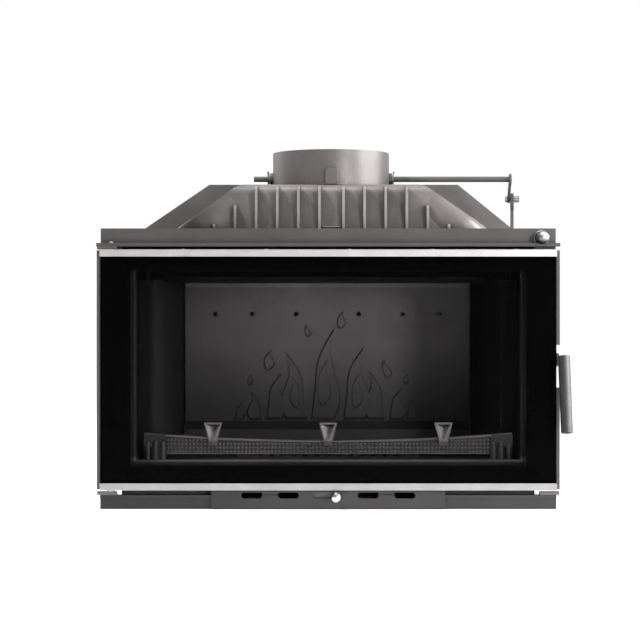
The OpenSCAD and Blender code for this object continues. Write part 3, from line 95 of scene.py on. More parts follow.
class Shader:
    """A small builder for one material's node tree."""

    def __init__(self, name):
        self.material = bpy.data.materials.new(name)
        self.material.use_nodes = True
        self.tree = self.material.node_tree
        self.tree.nodes.clear()
        self.output = self.add("ShaderNodeOutputMaterial")
        self.place = self.add("ShaderNodeTexCoord").outputs["Object"]

    def add(self, kind, **values):
        node = self.tree.nodes.new(kind)
        for key, value in values.items():
            setattr(node, key, value)
        return node

    def link(self, source, target):
        self.tree.links.new(source, target)

    def noise(self, scale, detail=4.0, roughness=0.55, stretch=None):
        """Noise in object space; stretch gives a scale factor along X, Y and Z."""
        node = self.add("ShaderNodeTexNoise")
        node.inputs["Scale"].default_value = scale
        node.inputs["Detail"].default_value = detail
        node.inputs["Roughness"].default_value = roughness
        source = self.place
        if stretch:
            mapping = self.add("ShaderNodeMapping")
            mapping.inputs["Scale"].default_value = stretch
            self.link(self.place, mapping.inputs["Vector"])
            source = mapping.outputs["Vector"]
        self.link(source, node.inputs["Vector"])
        return node.outputs["Fac"]

    def ramp(self, source, stops):
        """A colour ramp through (position, colour) stops."""
        node = self.add("ShaderNodeValToRGB")
        elements = node.color_ramp.elements
        while len(elements) < len(stops):
            elements.new(0.5)
        for element, (position, colour) in zip(elements, stops):
            element.position = position
            element.color = (*colour, 1.0)
        self.link(source, node.inputs["Fac"])
        return node.outputs["Color"]

    def mottle(self, source, colour, weak, strong):
        """The colour, between a weak and a strong share of it."""
        stops = [(MOTTLE_LOW, shade(colour, weak)), (MOTTLE_HIGH, shade(colour, strong))]
        return self.ramp(source, stops)

    def spread(self, source, low, high):
        """Maps 0..1 to low..high."""
        node = self.add("ShaderNodeMapRange")
        node.inputs["To Min"].default_value = low
        node.inputs["To Max"].default_value = high
        self.link(source, node.inputs["Value"])
        return node.outputs["Result"]

    def zone(self, axis, low, high, tones):
        """Grey tones along one axis of the object, from low to high, for painted light and shade.
        """
        parts = self.add("ShaderNodeSeparateXYZ")
        self.link(self.place, parts.inputs[0])
        share = self.add("ShaderNodeMapRange")
        share.inputs["From Min"].default_value = low
        share.inputs["From Max"].default_value = high
        self.link(parts.outputs[axis], share.inputs["Value"])
        return self.ramp(share.outputs["Result"], [(at, grey(tone)) for at, tone in tones])

    def paint_light_zones(self, tint, zones):
        """The tint, darkened along each zone as painted light and shade; a zone's two ends are in
        millimetres.
        """
        for axis, low, high, tones in zones:
            tint = self.multiply(tint, self.zone(axis, low * MM, high * MM, tones))
        return tint

    def multiply(self, a, b):
        node = self.add("ShaderNodeMix", data_type="RGBA", blend_type="MULTIPLY")
        node.inputs["Factor"].default_value = 1.0
        self.link(a, node.inputs[MIX_A])
        self.link(b, node.inputs[MIX_B])
        return node.outputs[MIX_RESULT]

    def bump(self, layers):
        """Stacks (height source, strength, distance) layers into one normal."""
        normal = None
        for height, strength, distance in layers:
            node = self.add("ShaderNodeBump")
            node.inputs["Strength"].default_value = strength
            node.inputs["Distance"].default_value = distance
            self.link(height, node.inputs["Height"])
            if normal:
                self.link(normal, node.inputs["Normal"])
            normal = node.outputs["Normal"]
        return normal

    def principled(self, **sockets):
        """The surface: numbers are set on its sockets, and node outputs are linked."""
        node = self.add("ShaderNodeBsdfPrincipled")
        for key, value in sockets.items():
            socket = node.inputs[key.replace("_", " ")]
            if isinstance(value, bpy.types.NodeSocket):
                self.link(value, socket)
            else:
                socket.default_value = value
        self.link(node.outputs["BSDF"], self.output.inputs["Surface"])
        return self.material


# Materials: scales are those of noise, and heights are those of the relief that it makes

CAST_CLOUD_SCALE, CAST_DUST_SCALE, CAST_SHINE_SCALE = 9.0, 420.0, 60.0
CAST_SWELL_SCALE, CAST_SWELL_STRENGTH, CAST_SWELL_HEIGHT = 28.0, 0.05, 2.5 * MM
CAST_GRAIN_SCALE, CAST_GRAIN_HEIGHT = 520.0, 0.35 * MM
DUST_TONE, DUST_LOW, DUST_HIGH = 0.88, 0.35, 0.7
# How open a place is where the painted shade in a nook begins, and where it ends
NOOK_SHUT, NOOK_OPEN, NOOK_SAMPLES = 0.25, 0.85, 6
# How far the roughness goes under and over its middle
CAST_SMOOTHER, CAST_ROUGHER = 0.07, 0.09


def cast_iron(name, colour, roughness, metallic, grain=0.5, blotch=0.14, nook=14, nook_tone=0.55,
              zones=(), gloss=0.5):
    """Sand-cast iron under a thin coat: fine grain, soft waves, faint blotches, and painted shade
    in its nooks.

    Each zone is an axis, its two ends in millimetres, and tones along it as (share, tone) pairs.
    """
    s = Shader(name)
    cloud = s.noise(CAST_CLOUD_SCALE, 5.0, 0.6)
    tone = s.mottle(cloud, colour, 1 - blotch, 1 + blotch)
    dust = s.ramp(s.noise(CAST_DUST_SCALE, 2.0, 0.6),
                  [(DUST_LOW, grey(DUST_TONE)), (DUST_HIGH, grey(1.0))])
    # Ambient occlusion darkens nooks and corners: painted shade
    corners = s.add("ShaderNodeAmbientOcclusion", samples=NOOK_SAMPLES)
    corners.inputs["Distance"].default_value = nook * MM
    nook_shade = s.ramp(corners.outputs["AO"], [(NOOK_SHUT, grey(nook_tone)), (NOOK_OPEN, grey(1.0))])
    tint = s.paint_light_zones(s.multiply(s.multiply(tone, dust), nook_shade), zones)
    normal = s.bump([
        (s.noise(CAST_SWELL_SCALE, 3.0, 0.5), CAST_SWELL_STRENGTH, CAST_SWELL_HEIGHT),
        (s.noise(CAST_GRAIN_SCALE, 3.0, 0.65), grain, CAST_GRAIN_HEIGHT),
    ])
    rough = s.spread(s.noise(CAST_SHINE_SCALE, 4.0, 0.6), roughness - CAST_SMOOTHER,
                     roughness + CAST_ROUGHER)
    return s.principled(Base_Color=tint, Metallic=metallic, Roughness=rough, Normal=normal,
                        Specular_IOR_Level=gloss)


LINE_SCALE, LINE_STRENGTH, LINE_HEIGHT, LINE_TONE = 900.0, 0.25, 0.08 * MM, 0.86
STEEL_HAZE_SCALE = 35.0


def drawn_steel(name, colour, roughness, stretch, metallic=1.0):
    """Bar or sheet steel with fine drawn lines; stretch sets their direction."""
    s = Shader(name)
    lines = s.noise(LINE_SCALE, 2.0, 0.6, stretch)
    haze = s.noise(STEEL_HAZE_SCALE, 4.0, 0.6)
    tone = s.mottle(haze, colour, 0.9, 1.08)
    shine = s.mottle(lines, grey(1.0), LINE_TONE, 1.0)
    return s.principled(
        Base_Color=s.multiply(tone, shine), Metallic=metallic,
        Roughness=s.spread(lines, roughness - 0.05, roughness + 0.1),
        Normal=s.bump([(lines, LINE_STRENGTH, LINE_HEIGHT)]))


CHROME_HAZE_SCALE, CHROME_STRENGTH, CHROME_HEIGHT = 180.0, 0.03, 0.1 * MM


def polished_chrome(name, colour, zones=(), roughness=0.24):
    """Polished metal, darkened along the zones as painted reflection, which are told as for cast
    iron.
    """
    s = Shader(name)
    haze = s.noise(CHROME_HAZE_SCALE, 3.0, 0.6)
    return s.principled(
        Base_Color=s.paint_light_zones(s.mottle(haze, colour, 0.96, 1.03), zones), Metallic=1.0,
        Roughness=s.spread(haze, roughness, roughness + 0.08),
        Normal=s.bump([(haze, CHROME_STRENGTH, CHROME_HEIGHT)]))


GLASS_SMEAR_SCALE, GLASS_TINT, GLASS_IOR, GLASS_ALPHA = 6.0, grey(0.0025), 1.12, 0.14


def heat_glass(name):
    """Clear heat-proof glass: mostly see-through, with a faint gloss."""
    s = Shader(name)
    smear = s.noise(GLASS_SMEAR_SCALE, 3.0, 0.6)
    return s.principled(
        Base_Color=s.mottle(smear, GLASS_TINT, 0.8, 1.2),
        Roughness=s.spread(smear, 0.015, 0.03), IOR=GLASS_IOR, Alpha=GLASS_ALPHA)


PRINT_PEEL_SCALE, PRINT_TINT, PRINT_IOR = 300.0, grey(0.001), 1.05
PRINT_STRENGTH, PRINT_HEIGHT = 0.05, 0.05 * MM


def printed_enamel(name):
    """The black print round the glass, smooth and glossy behind it."""
    s = Shader(name)
    peel = s.noise(PRINT_PEEL_SCALE, 2.0, 0.5)
    return s.principled(
        Base_Color=s.mottle(peel, PRINT_TINT, 0.8, 1.2),
        Roughness=s.spread(peel, 0.3, 0.36), IOR=PRINT_IOR,
        Normal=s.bump([(peel, PRINT_STRENGTH, PRINT_HEIGHT)]))


THREAD_SCALE, THREAD_DISTORTION, THREAD_DETAIL = 330.0, 2.5, 2.0
THREAD_LOW, THREAD_HIGH, THREAD_DARK, THREAD_LIGHT = 0.15, 0.8, 0.62, 1.12
THREAD_STRENGTH, THREAD_HEIGHT = 0.6, 0.5 * MM
FLUFF_SCALE, FLUFF_STRENGTH, FLUFF_HEIGHT = 700.0, 0.3, 0.2 * MM
ROPE_ROUGHNESS, ROPE_SHEEN = 0.92, 0.25


def woven_rope(name, colour):
    """Glass-fibre rope or tape with fine crossed threads."""
    s = Shader(name)
    wave = s.add("ShaderNodeTexWave", wave_type="BANDS", bands_direction="DIAGONAL")
    wave.inputs["Scale"].default_value = THREAD_SCALE
    wave.inputs["Distortion"].default_value = THREAD_DISTORTION
    wave.inputs["Detail"].default_value = THREAD_DETAIL
    s.link(s.place, wave.inputs["Vector"])
    threads = wave.outputs["Fac"]
    fluff = s.noise(FLUFF_SCALE, 2.0)
    tint = s.ramp(threads, [(THREAD_LOW, shade(colour, THREAD_DARK)),
                            (THREAD_HIGH, shade(colour, THREAD_LIGHT))])
    return s.principled(
        Base_Color=tint, Roughness=ROPE_ROUGHNESS, Sheen_Weight=ROPE_SHEEN,
        Normal=s.bump([(threads, THREAD_STRENGTH, THREAD_HEIGHT),
                       (fluff, FLUFF_STRENGTH, FLUFF_HEIGHT)]))


CAP_GRAIN_SCALE, CAP_STRENGTH, CAP_HEIGHT = 650.0, 0.25, 0.15 * MM


def moulded_cap(name, colour):
    s = Shader(name)
    grain = s.noise(CAP_GRAIN_SCALE, 3.0, 0.6)
    return s.principled(
        Base_Color=s.mottle(grain, colour, 0.8, 1.2), Roughness=s.spread(grain, 0.5, 0.65),
        Normal=s.bump([(grain, CAP_STRENGTH, CAP_HEIGHT)]))


WARM_GREY = (0.128, 0.117, 0.118)
FIRE_GREY = (0.060, 0.057, 0.057)
LINING_GREY = (0.24, 0.222, 0.225)
FENCE_GREY = (0.13, 0.122, 0.124)
# The studs, beads and scoop chutes are a lighter copy of the fence's iron: painted light on the
# raised parts
STUD_GREY = (0.15, 0.141, 0.143)
BAFFLE_BLACK = (0.022, 0.021, 0.021)
RAIL_SHADE_GREY = (0.043, 0.040, 0.041)
ALONG_X = (0.02, 1.0, 1.0)
ALONG_Z = (1.0, 1.0, 0.02)

MATERIALS = {
    "grey_iron": cast_iron("grey_iron", WARM_GREY, 0.42, 0.55, grain=0.35),
    "firebox_iron": cast_iron("firebox_iron", FIRE_GREY, 0.6, 0.2, grain=0.6),
    "fastener_steel": drawn_steel("fastener_steel", (0.33, 0.32, 0.31), 0.38, ALONG_Z),
    "plate_steel": drawn_steel("plate_steel", (0.09, 0.088, 0.086), 0.5, ALONG_X, metallic=0.6),
    "linkage_steel": drawn_steel("linkage_steel", (0.095, 0.09, 0.089), 0.42, ALONG_X,
                                 metallic=0.4),
    "bright_chrome": polished_chrome("bright_chrome", (0.46, 0.45, 0.447)),
    "door_black": cast_iron("door_black", (0.078, 0.075, 0.074), 0.5, 0.3),
    "dark_glass": heat_glass("dark_glass"),
    "gasket_black": woven_rope("gasket_black", grey(0.03)),
    "trim_steel": drawn_steel("trim_steel", grey(0.53), 0.42, ALONG_X),
    "seal_rope": woven_rope("seal_rope", (0.30, 0.29, 0.275)),
    "handle_steel": drawn_steel("handle_steel", (0.095, 0.090, 0.090), 0.44, ALONG_Z, metallic=0.9),
    "cap_black": moulded_cap("cap_black", grey(0.015)),
}

# Zones of painted light and shade, told as for cast iron
# The pull knob's ball is darkened low and on its left, a painted reflection of the beam's dark lip
# nearby
BALL_REFLECTION_ZONES = [("Z", 447, 468, [(0.0, 0.02), (0.2, 0.07), (0.42, 0.4), (0.6, 1.0)]),
              ("X", 350.5, 371.5, [(0.0, 0.25), (0.3, 0.75), (0.5, 1.0)])]
# The side linings are painted dark as shade, darkest at the cheeks beside the fire's mouth, and the
# right one darker than the left
CHEEK_SHADE_ZONES = [("Y", -180, -140, [(0.0, 0.04), (0.6, 0.07), (0.8, 1.0)]),
               ("X", -345, 345, [(0.0, 0.55), (0.3, 0.55), (0.7, 0.12), (1.0, 0.12)])]
# A light band along the sill at the rim's foot is a painted highlight, and the rest of the rim is
# painted dark as shade
RIM_LIGHT_ZONES = [("Z", 70, 443, [(0.0, 0.12), (0.02, 0.3), (0.028, 0.95), (0.036, 0.95), (0.05, 0.12)])]
# The hood is painted lighter at its fins' front edges as a highlight, and darker towards its left
# shoulder as shade
HOOD_LIGHT_ZONES = [("Y", -136, 194, [(0.0, 0.68), (0.006, 0.65), (0.011, 0.46), (1.0, 0.46)]),
              ("X", -321, 333, [(0.0, 0.1), (0.08, 0.2), (0.18, 0.42), (0.3, 0.92), (0.72, 0.92),
                                (0.85, 1.0), (1.0, 1.0)])]
# The front rail is painted darker than the grey iron, and darker still towards its left: painted
# shade
RAIL_SHADE_ZONES = [("X", -381, 381, [(0.0, 0.5), (0.3, 0.6), (0.42, 0.85), (1.0, 0.9)])]
# The rear lining is painted darker at its foot and its sides as shade round a pool of light in its
# middle, and its ledge at the top is left light
PLATE_SHADE_ZONES = [("Z", 70, 390, [(0.0, 0.2), (0.3, 0.33), (0.62, 0.66), (0.965, 0.64), (0.975, 1.0)]),
               ("X", -266, 266, [(0.0, 0.6), (0.35, 1.0), (0.65, 1.0), (1.0, 0.55)])]
# The fence is painted light across the scoops at its front, and dark behind them and at its ends,
# as light and shade
FENCE_LIGHT_ZONES = [("Y", -192, -172, [(0.0, 1.0), (0.2, 1.0), (0.3, 0.2), (1.0, 0.2)]),
               ("X", -314, 314, [(0.0, 0.45), (0.065, 0.45), (0.075, 1.0), (0.925, 1.0),
                                 (0.935, 0.45), (1.0, 0.45)])]

ENAMEL = printed_enamel("printed_enamel")
BALL_CHROME = polished_chrome("ball_chrome", (0.7, 0.685, 0.68), roughness=0.36, zones=BALL_REFLECTION_ZONES)
# The baffles are a near-black copy of the firebox iron
BLACK_BAFFLE = cast_iron("black_baffle", shade(BAFFLE_BLACK, 0.4), 0.7, 0.0, gloss=0.1)
RIM_SHADE_AND_HIGHLIGHT = cast_iron("rim_shade_and_highlight", (0.07, 0.066, 0.066), 0.6, 0.0, grain=0.4, gloss=0.15,
                     zones=RIM_LIGHT_ZONES)
LINING_SHADE = cast_iron("lining_shade", (0.045, 0.042, 0.042), 0.65, 0.0, gloss=0.05,
                        zones=CHEEK_SHADE_ZONES)
LEG_IRON = cast_iron("leg_iron", (0.042, 0.039, 0.040), 0.42, 0.4, grain=0.3, gloss=0.25)
STUD_IRON = cast_iron("stud_iron", STUD_GREY, 0.4, 0.5, grain=0.3)
# The hood's iron is a lighter copy of the grey iron, brought down by its painted zones and a wide
# painted shade in its nooks
HOOD_IRON = cast_iron("hood_iron", shade(WARM_GREY, 3.75), 0.47, 0.55, grain=0.3, nook=38,
                      nook_tone=0.4, zones=HOOD_LIGHT_ZONES)
# The rear lining and its flames are a lighter copy of the firebox iron, shaded by the lining's
# painted zones
LINING_IRON = cast_iron("lining_iron", LINING_GREY, 0.5, 0.3, grain=0.3, nook=6, nook_tone=0.8,
                        zones=PLATE_SHADE_ZONES)
# Nodes whose finish is lighter or darker than the rest of their slot, most of them as painted light
# and shade
OWN_TONE = {
    # The lower trim is a darker copy of the trim steel: painted shade
    "trim_bottom": drawn_steel("trim_low_shaded_steel", grey(0.32), 0.42, ALONG_X),
    # The hearth plate is painted near black: shade in the gap under the fence
    "hearth_plate": cast_iron("hearth_shade", shade(FIRE_GREY, 0.3), 0.65, 0.0, gloss=0.15),
    "front_rim": RIM_SHADE_AND_HIGHLIGHT, "side_lining_left": LINING_SHADE, "side_lining_right": LINING_SHADE,
    "hood": HOOD_IRON,
    # The front beam is a darker copy of the grey iron: painted shade
    "front_beam": cast_iron("beam_shaded_iron", shade(WARM_GREY, 0.6), 0.42, 0.5, grain=0.35),
    "baffle": BLACK_BAFFLE, "upper_baffle": BLACK_BAFFLE,
    "front_rail": cast_iron("rail_shaded_iron", RAIL_SHADE_GREY, 0.42, 0.45, grain=0.35, zones=RAIL_SHADE_ZONES),
    "back_lining": LINING_IRON,
    "log_fence": cast_iron("fence_iron", FENCE_GREY, 0.44, 0.45, zones=FENCE_LIGHT_ZONES),
}


# Finish of the CAD nodes

SMOOTH_ANGLE, FLAT_ANGLE, BEVEL_ANGLE = (math.radians(angle) for angle in (32, 0.6, 38))
WELD_REACH, FLAT_WEIGHT, EDGE_SEGMENTS = 0.002 * MM, 100, 2


def smooth_group(angle):
    """Geometry nodes that shade smooth except at edges sharper than the angle."""
    group = bpy.data.node_groups.new("smooth_by_angle", "GeometryNodeTree")
    group.interface.new_socket("Geometry", in_out="INPUT", socket_type="NodeSocketGeometry")
    group.interface.new_socket("Geometry", in_out="OUTPUT", socket_type="NodeSocketGeometry")
    nodes, links = group.nodes, group.links
    start, end = nodes.new("NodeGroupInput"), nodes.new("NodeGroupOutput")
    plain = nodes.new("GeometryNodeRemoveAttribute")
    plain.inputs["Name"].default_value = "custom_normal"
    edge = nodes.new("GeometryNodeInputMeshEdgeAngle")
    soft = nodes.new("FunctionNodeCompare")
    soft.data_type, soft.operation = "FLOAT", "LESS_THAN"
    soft.inputs[1].default_value = angle
    faces = nodes.new("GeometryNodeSetShadeSmooth")
    faces.domain = "FACE"
    edges = nodes.new("GeometryNodeSetShadeSmooth")
    edges.domain = "EDGE"
    links.new(start.outputs[0], plain.inputs["Geometry"])
    links.new(plain.outputs["Geometry"], faces.inputs["Geometry"])
    links.new(faces.outputs["Geometry"], edges.inputs["Geometry"])
    links.new(edge.outputs["Unsigned Angle"], soft.inputs[0])
    links.new(soft.outputs["Result"], edges.inputs["Shade Smooth"])
    links.new(edges.outputs["Geometry"], end.inputs[0])
    return group


SMOOTH = smooth_group(SMOOTH_ANGLE)


def soften(obj, width=0.0, join_flats=True):
    """Rounds an object's edges by width and shades the rest smooth."""
    weld = obj.modifiers.new("weld", "WELD")
    weld.merge_threshold = WELD_REACH
    if width > 0:
        if join_flats:
            plain = obj.modifiers.new("plain_faces", "DECIMATE")
            plain.decimate_type = "DISSOLVE"
            plain.angle_limit = FLAT_ANGLE
        bevel = obj.modifiers.new("bevel", "BEVEL")
        bevel.width = width
        bevel.segments = EDGE_SEGMENTS
        bevel.limit_method = "ANGLE"
        bevel.angle_limit = BEVEL_ANGLE
        bevel.use_clamp_overlap = True
        bevel.miter_outer = "MITER_ARC"
    smooth = obj.modifiers.new("smooth", "NODES")
    smooth.node_group = SMOOTH
    flat = obj.modifiers.new("flat_faces", "WEIGHTED_NORMAL")
    flat.keep_sharp = True
    flat.weight = FLAT_WEIGHT


# Edge rounding of each slot, and of nodes that have their own, in millimetres
EDGE_WIDTH = {
    "grey_iron": 1.3, "firebox_iron": 1.2, "fastener_steel": 0.35, "plate_steel": 0.3,
    "linkage_steel": 0.5, "bright_chrome": 0.3, "door_black": 1.0, "dark_glass": 0.4,
    "gasket_black": 0.2, "trim_steel": 0.25, "seal_rope": 0.0, "handle_steel": 0.4,
    "cap_black": 0.4,
}
OWN_EDGE = {"hood": 2.2, "rear_wall": 0.0, "back_lining": 0.0}
# Ribs stand on the flats of these, and a flat with such islands can't be one face
RIBBED = {"side_wall_left", "side_wall_right"}
SLOTS = {entry["node"]: entry["material_slot"] for entry in frame["record"]["subparts"]}

for node_name, node in NODES.items():
    slot_name = SLOTS[node_name]
    node.data.materials.clear()
    node.data.materials.append(OWN_TONE.get(node_name, MATERIALS[slot_name]))
    soften(node, OWN_EDGE.get(node_name, EDGE_WIDTH[slot_name]) * MM, node_name not in RIBBED)


# Mesh helpers

def mesh_object(name, bm, body, slot_name, material=None):
    """Turns a bmesh into a piece that rides on a body with a slot's finish."""
    mesh = bpy.data.meshes.new(name)
    bmesh.ops.recalc_face_normals(bm, faces=bm.faces)
    bm.to_mesh(mesh)
    bm.free()
    obj = bpy.data.objects.new(name, mesh)
    bpy.context.scene.collection.objects.link(obj)
    obj.data.materials.append(material or MATERIALS[slot_name])
    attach(obj, body)
    return obj


def bridge(bm, a, b):
    """Joins two rings of the same count with quads."""
    count = len(a)
    for i in range(count):
        j = (i + 1) % count
        bm.faces.new((a[i], a[j], b[j], b[i]))


def loft(bm, rings):
    """Joins rings of points in order, and closes both ends."""
    loops = [[bm.verts.new(point) for point in ring] for ring in rings]
    for a, b in zip(loops, loops[1:]):
        bridge(bm, a, b)
    bm.faces.new(loops[0])
    bm.faces.new(loops[-1])


def loft_round(bm, rings):
    """Joins rings of points in order, and the last one to the first, as in a hoop."""
    loops = [[bm.verts.new(point) for point in ring] for ring in rings]
    for a, b in zip(loops, loops[1:] + loops[:1]):
        bridge(bm, a, b)


def circle(count):
    """Cosine and sine of each of count steps round a circle."""
    turns = [2 * math.pi * k / count for k in range(count)]
    return [(math.cos(a), math.sin(a)) for a in turns]


def rounded_loop(half, low, high, radius, steps=8):
    """Points (x, z) of a rounded rectangle, anticlockwise from its right side."""
    corners = [(half - radius, high - radius, 0), (-half + radius, high - radius, 90),
               (-half + radius, low + radius, 180), (half - radius, low + radius, 270)]
    points = []
    for cx, cz, start in corners:
        for i in range(steps + 1):
            a = math.radians(start + 90 * i / steps)
            points.append((cx + radius * math.cos(a), cz + radius * math.sin(a)))
    return points


# Door glass print

PRINT_GAP, PRINT_T, PRINT_INSET = 0.02 * MM, 0.12 * MM, 0.6 * MM
PRINT_OUTER_R, PRINT_INNER_R = 2 * MM, 5 * MM
CLEAR_HALF, CLEAR_LOW, CLEAR_HIGH = 333 * MM, 74 * MM, 402 * MM


def glass_print():
    """The black border printed on the inner side of the glass, open in the middle."""
    low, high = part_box("door_glass")
    back = high.y - PRINT_GAP
    front = back - PRINT_T
    outer = rounded_loop(high.x - PRINT_INSET, low.z + PRINT_INSET, high.z - PRINT_INSET,
                         PRINT_OUTER_R)
    inner = rounded_loop(CLEAR_HALF, CLEAR_LOW, CLEAR_HIGH, PRINT_INNER_R)
    bm = bmesh.new()
    loft_round(bm, [[(x, y, z) for x, z in loop]
                    for loop, y in ((inner, front), (outer, front), (outer, back), (inner, back))])
    mesh_object("glass_print", bm, "door", "door_black", ENAMEL)


glass_print()


# Log fence

FENCE_T = 8 * MM
FENCE_LOW, FENCE_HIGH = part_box("log_fence")
FENCE_FRONT = FENCE_HIGH.y - FENCE_T
HEARTH_Z = FENCE_LOW.z
FENCE_MID_H, FENCE_END_H = 34 * MM, 47 * MM
FENCE_HALF = FENCE_HIGH.x
STUD_PITCH, STUD_HALF, STUD_REACH, STUD_SINK = 6.35 * MM, 2.5 * MM, 1.6 * MM, 0.2 * MM
CROWN_SHARE = 0.45
STUD_ROWS, STUD_FIRST, STUD_MARGIN, STUD_SIDE = 4, 15.2 * MM, 3.0 * MM, 40 * MM


def fence_top(x):
    """Height of the fence's arched top edge."""
    return HEARTH_Z + FENCE_MID_H + (FENCE_END_H - FENCE_MID_H) * (x / FENCE_HALF) ** 2


def fence_studs():
    """Rows of diamond studs, corner to corner, on the fence's face."""
    count = int((FENCE_HALF - STUD_SIDE) / STUD_PITCH)
    back, front = FENCE_FRONT + STUD_SINK, FENCE_FRONT - STUD_REACH
    bm = bmesh.new()
    for row in range(STUD_ROWS):
        z = HEARTH_Z + STUD_FIRST + row * STUD_PITCH
        for i in range(-count, count + 1):
            x = i * STUD_PITCH
            if z + STUD_HALF > fence_top(x) - STUD_MARGIN:
                continue
            corners = [(x + STUD_HALF, z), (x, z + STUD_HALF),
                       (x - STUD_HALF, z), (x, z - STUD_HALF)]
            loft(bm, [[(px, back, pz) for px, pz in corners],
                      [(x + (px - x) * CROWN_SHARE, front, z + (pz - z) * CROWN_SHARE)
                       for px, pz in corners]])
    mesh_object("fence_studs", bm, "insert", "firebox_iron", STUD_IRON)


BEAD_STEPS, BEAD_SINK_SHARE = 10, 0.25
TOP_BEAD_R, LOW_BEAD_R, LOW_BEAD_Z = 1.9 * MM, 1.4 * MM, 11.6 * MM
TOP_BEAD_SHARE, LOW_BEAD_SHARE = 0.995, 0.905


def fence_moulding(name, path, radius):
    """A round bead laid along the fence's face."""
    bm = bmesh.new()
    centre_y = FENCE_FRONT + radius * BEAD_SINK_SHARE
    loft(bm, [[(x, centre_y + radius * c, z + radius * s) for c, s in circle(BEAD_STEPS)]
              for x, z in path])
    soften(mesh_object(name, bm, "insert", "firebox_iron", STUD_IRON))


fence_studs()
SPAN = [FENCE_HALF * i / 30 for i in range(-30, 31)]
fence_moulding("fence_top_bead",
               [(x * TOP_BEAD_SHARE, fence_top(x) - TOP_BEAD_R) for x in SPAN], TOP_BEAD_R)
fence_moulding("fence_low_bead",
               [(x * LOW_BEAD_SHARE, HEARTH_Z + LOW_BEAD_Z) for x in SPAN], LOW_BEAD_R)

# Each leg: place across, foot radius, head radius and how far it stands before the fence's face
LEGS = [(294.4, 5.8, 4.9, 5.0), (281.6, 5.9, 4.9, 5.0), (307.0, 5.2, 5.0, 1.5)]
LEG_H, LEG_STEPS = 33 * MM, 28


def fence_leg(name, x, foot, head, forward):
    """A round leg that tapers up into the end block, with a soft head."""
    bm = bmesh.new()
    profile = [(foot, 0.0), (foot * 0.97, 0.15), (head, 0.9), (head * 0.75, 0.97),
               (head * 0.3, 1.0)]
    loft(bm, [[(x + radius * c, FENCE_FRONT - forward + radius * s, HEARTH_Z + LEG_H * share)
               for c, s in circle(LEG_STEPS)] for radius, share in profile])
    soften(mesh_object(name, bm, "insert", "firebox_iron", LEG_IRON))


for side, tag in ((-1, "left"), (1, "right")):
    for index, (x, foot, head, forward) in enumerate(LEGS):
        fence_leg(f"fence_leg_{tag}_{index}", side * x * MM, foot * MM, head * MM, forward * MM)

SCOOP_LOW, SCOOP_H, SCOOP_WALL = HEARTH_Z + 32.5 * MM, 32 * MM, 3 * MM
SCOOP_FACE = FENCE_LOW.y
SCOOP_PLACES = (-196 * MM, 0.0, 196 * MM)
CHUTE_WIDE, CHUTE_NARROW, CHUTE_RISE = 12.2 * MM, 5.4 * MM, 1.6 * MM
CHUTE_DROP, CHUTE_BACK_SHARE = 5 * MM, 1.2
# The chute's edge, valley and back behind the scoop's face, and how its fold wanders off the middle
CHUTE_EDGE, CHUTE_VALLEY, CHUTE_BACK = -0.3 * MM, 7.4 * MM, 9.4 * MM
FOLD_FOOT_SKEW, FOLD_FOOT_DEPTH, FOLD_HEAD_SKEW = 0.4 * MM, 0.2 * MM, 1.5 * MM


def scoop_chute(name, x):
    """The folded floor inside a scoop: two slopes that meet in a valley under the top bar."""
    top, low = SCOOP_LOW + SCOOP_H - SCOOP_WALL, SCOOP_LOW + CHUTE_RISE
    edge, valley, back = (SCOOP_FACE + y for y in (CHUTE_EDGE, CHUTE_VALLEY, CHUTE_BACK))
    back_top = top - CHUTE_DROP * CHUTE_BACK_SHARE
    bm = bmesh.new()
    loft(bm, [
        [(x - CHUTE_NARROW, edge, low), (x + FOLD_FOOT_SKEW, edge + FOLD_FOOT_DEPTH, low),
         (x + CHUTE_NARROW, edge, low), (x + CHUTE_NARROW, back, low),
         (x - CHUTE_NARROW, back, low)],
        [(x - CHUTE_WIDE, edge, top), (x + FOLD_HEAD_SKEW, valley, top - CHUTE_DROP),
         (x + CHUTE_WIDE, edge, top), (x + CHUTE_WIDE, back, back_top),
         (x - CHUTE_WIDE, back, back_top)]])
    mesh_object(name, bm, "insert", "firebox_iron", STUD_IRON)


for index, x in enumerate(SCOOP_PLACES):
    scoop_chute(f"scoop_chute_{index}", x)


# Rolled shoulders and foot lip of the hood

HOOD_MID, HOOD_FOOT_HALF, HOOD_TOP_HALF = 6 * MM, 310 * MM, 160 * MM
HOOD_FOOT_Z, HOOD_TOP_Z, HOOD_KNEE_Z = 451 * MM, 556 * MM, 477 * MM
HOOD_FRONT, HOOD_DRAW, HOOD_ROUND_R, HOOD_CORNER_R, HOOD_SHOULDER_R = (
    v * MM for v in (-126, 9, 22, 96, 34))
# The roll's section: distance inwards from the shoulder, and rise over the face, in millimetres
ROLL = [(0, -1.6), (1.5, 1.2), (3.5, 3.2), (6, 4.8), (9.5, 6.0), (14, 6.6), (20, 6.4), (29, 4.8),
        (39, 2.2), (50, -0.9)]
ROLL_SINK, ROLL_BACK, ROLL_START = 1.6, 2.6 * MM, 12 * MM
ROLL_STEPS, ROLL_FADE_STEPS = 22, 9


def hood_face(x, z):
    """Y of the hood's front where it leans back, rounds off at its top and turns its corners."""
    bend = HOOD_TOP_Z - HOOD_ROUND_R
    y = HOOD_FRONT + HOOD_DRAW * min(1.0, max(0.0, (z - HOOD_KNEE_Z) / (bend - HOOD_KNEE_Z)))
    if z > bend:
        y += HOOD_ROUND_R - math.sqrt(max(0.0, HOOD_ROUND_R ** 2 - (z - bend) ** 2))
    turn = abs(x - HOOD_MID) - (HOOD_FOOT_HALF - HOOD_CORNER_R)
    if turn > 0:
        y = max(y, HOOD_FRONT + HOOD_CORNER_R - math.sqrt(max(0.0, HOOD_CORNER_R ** 2 - turn ** 2)))
    return y


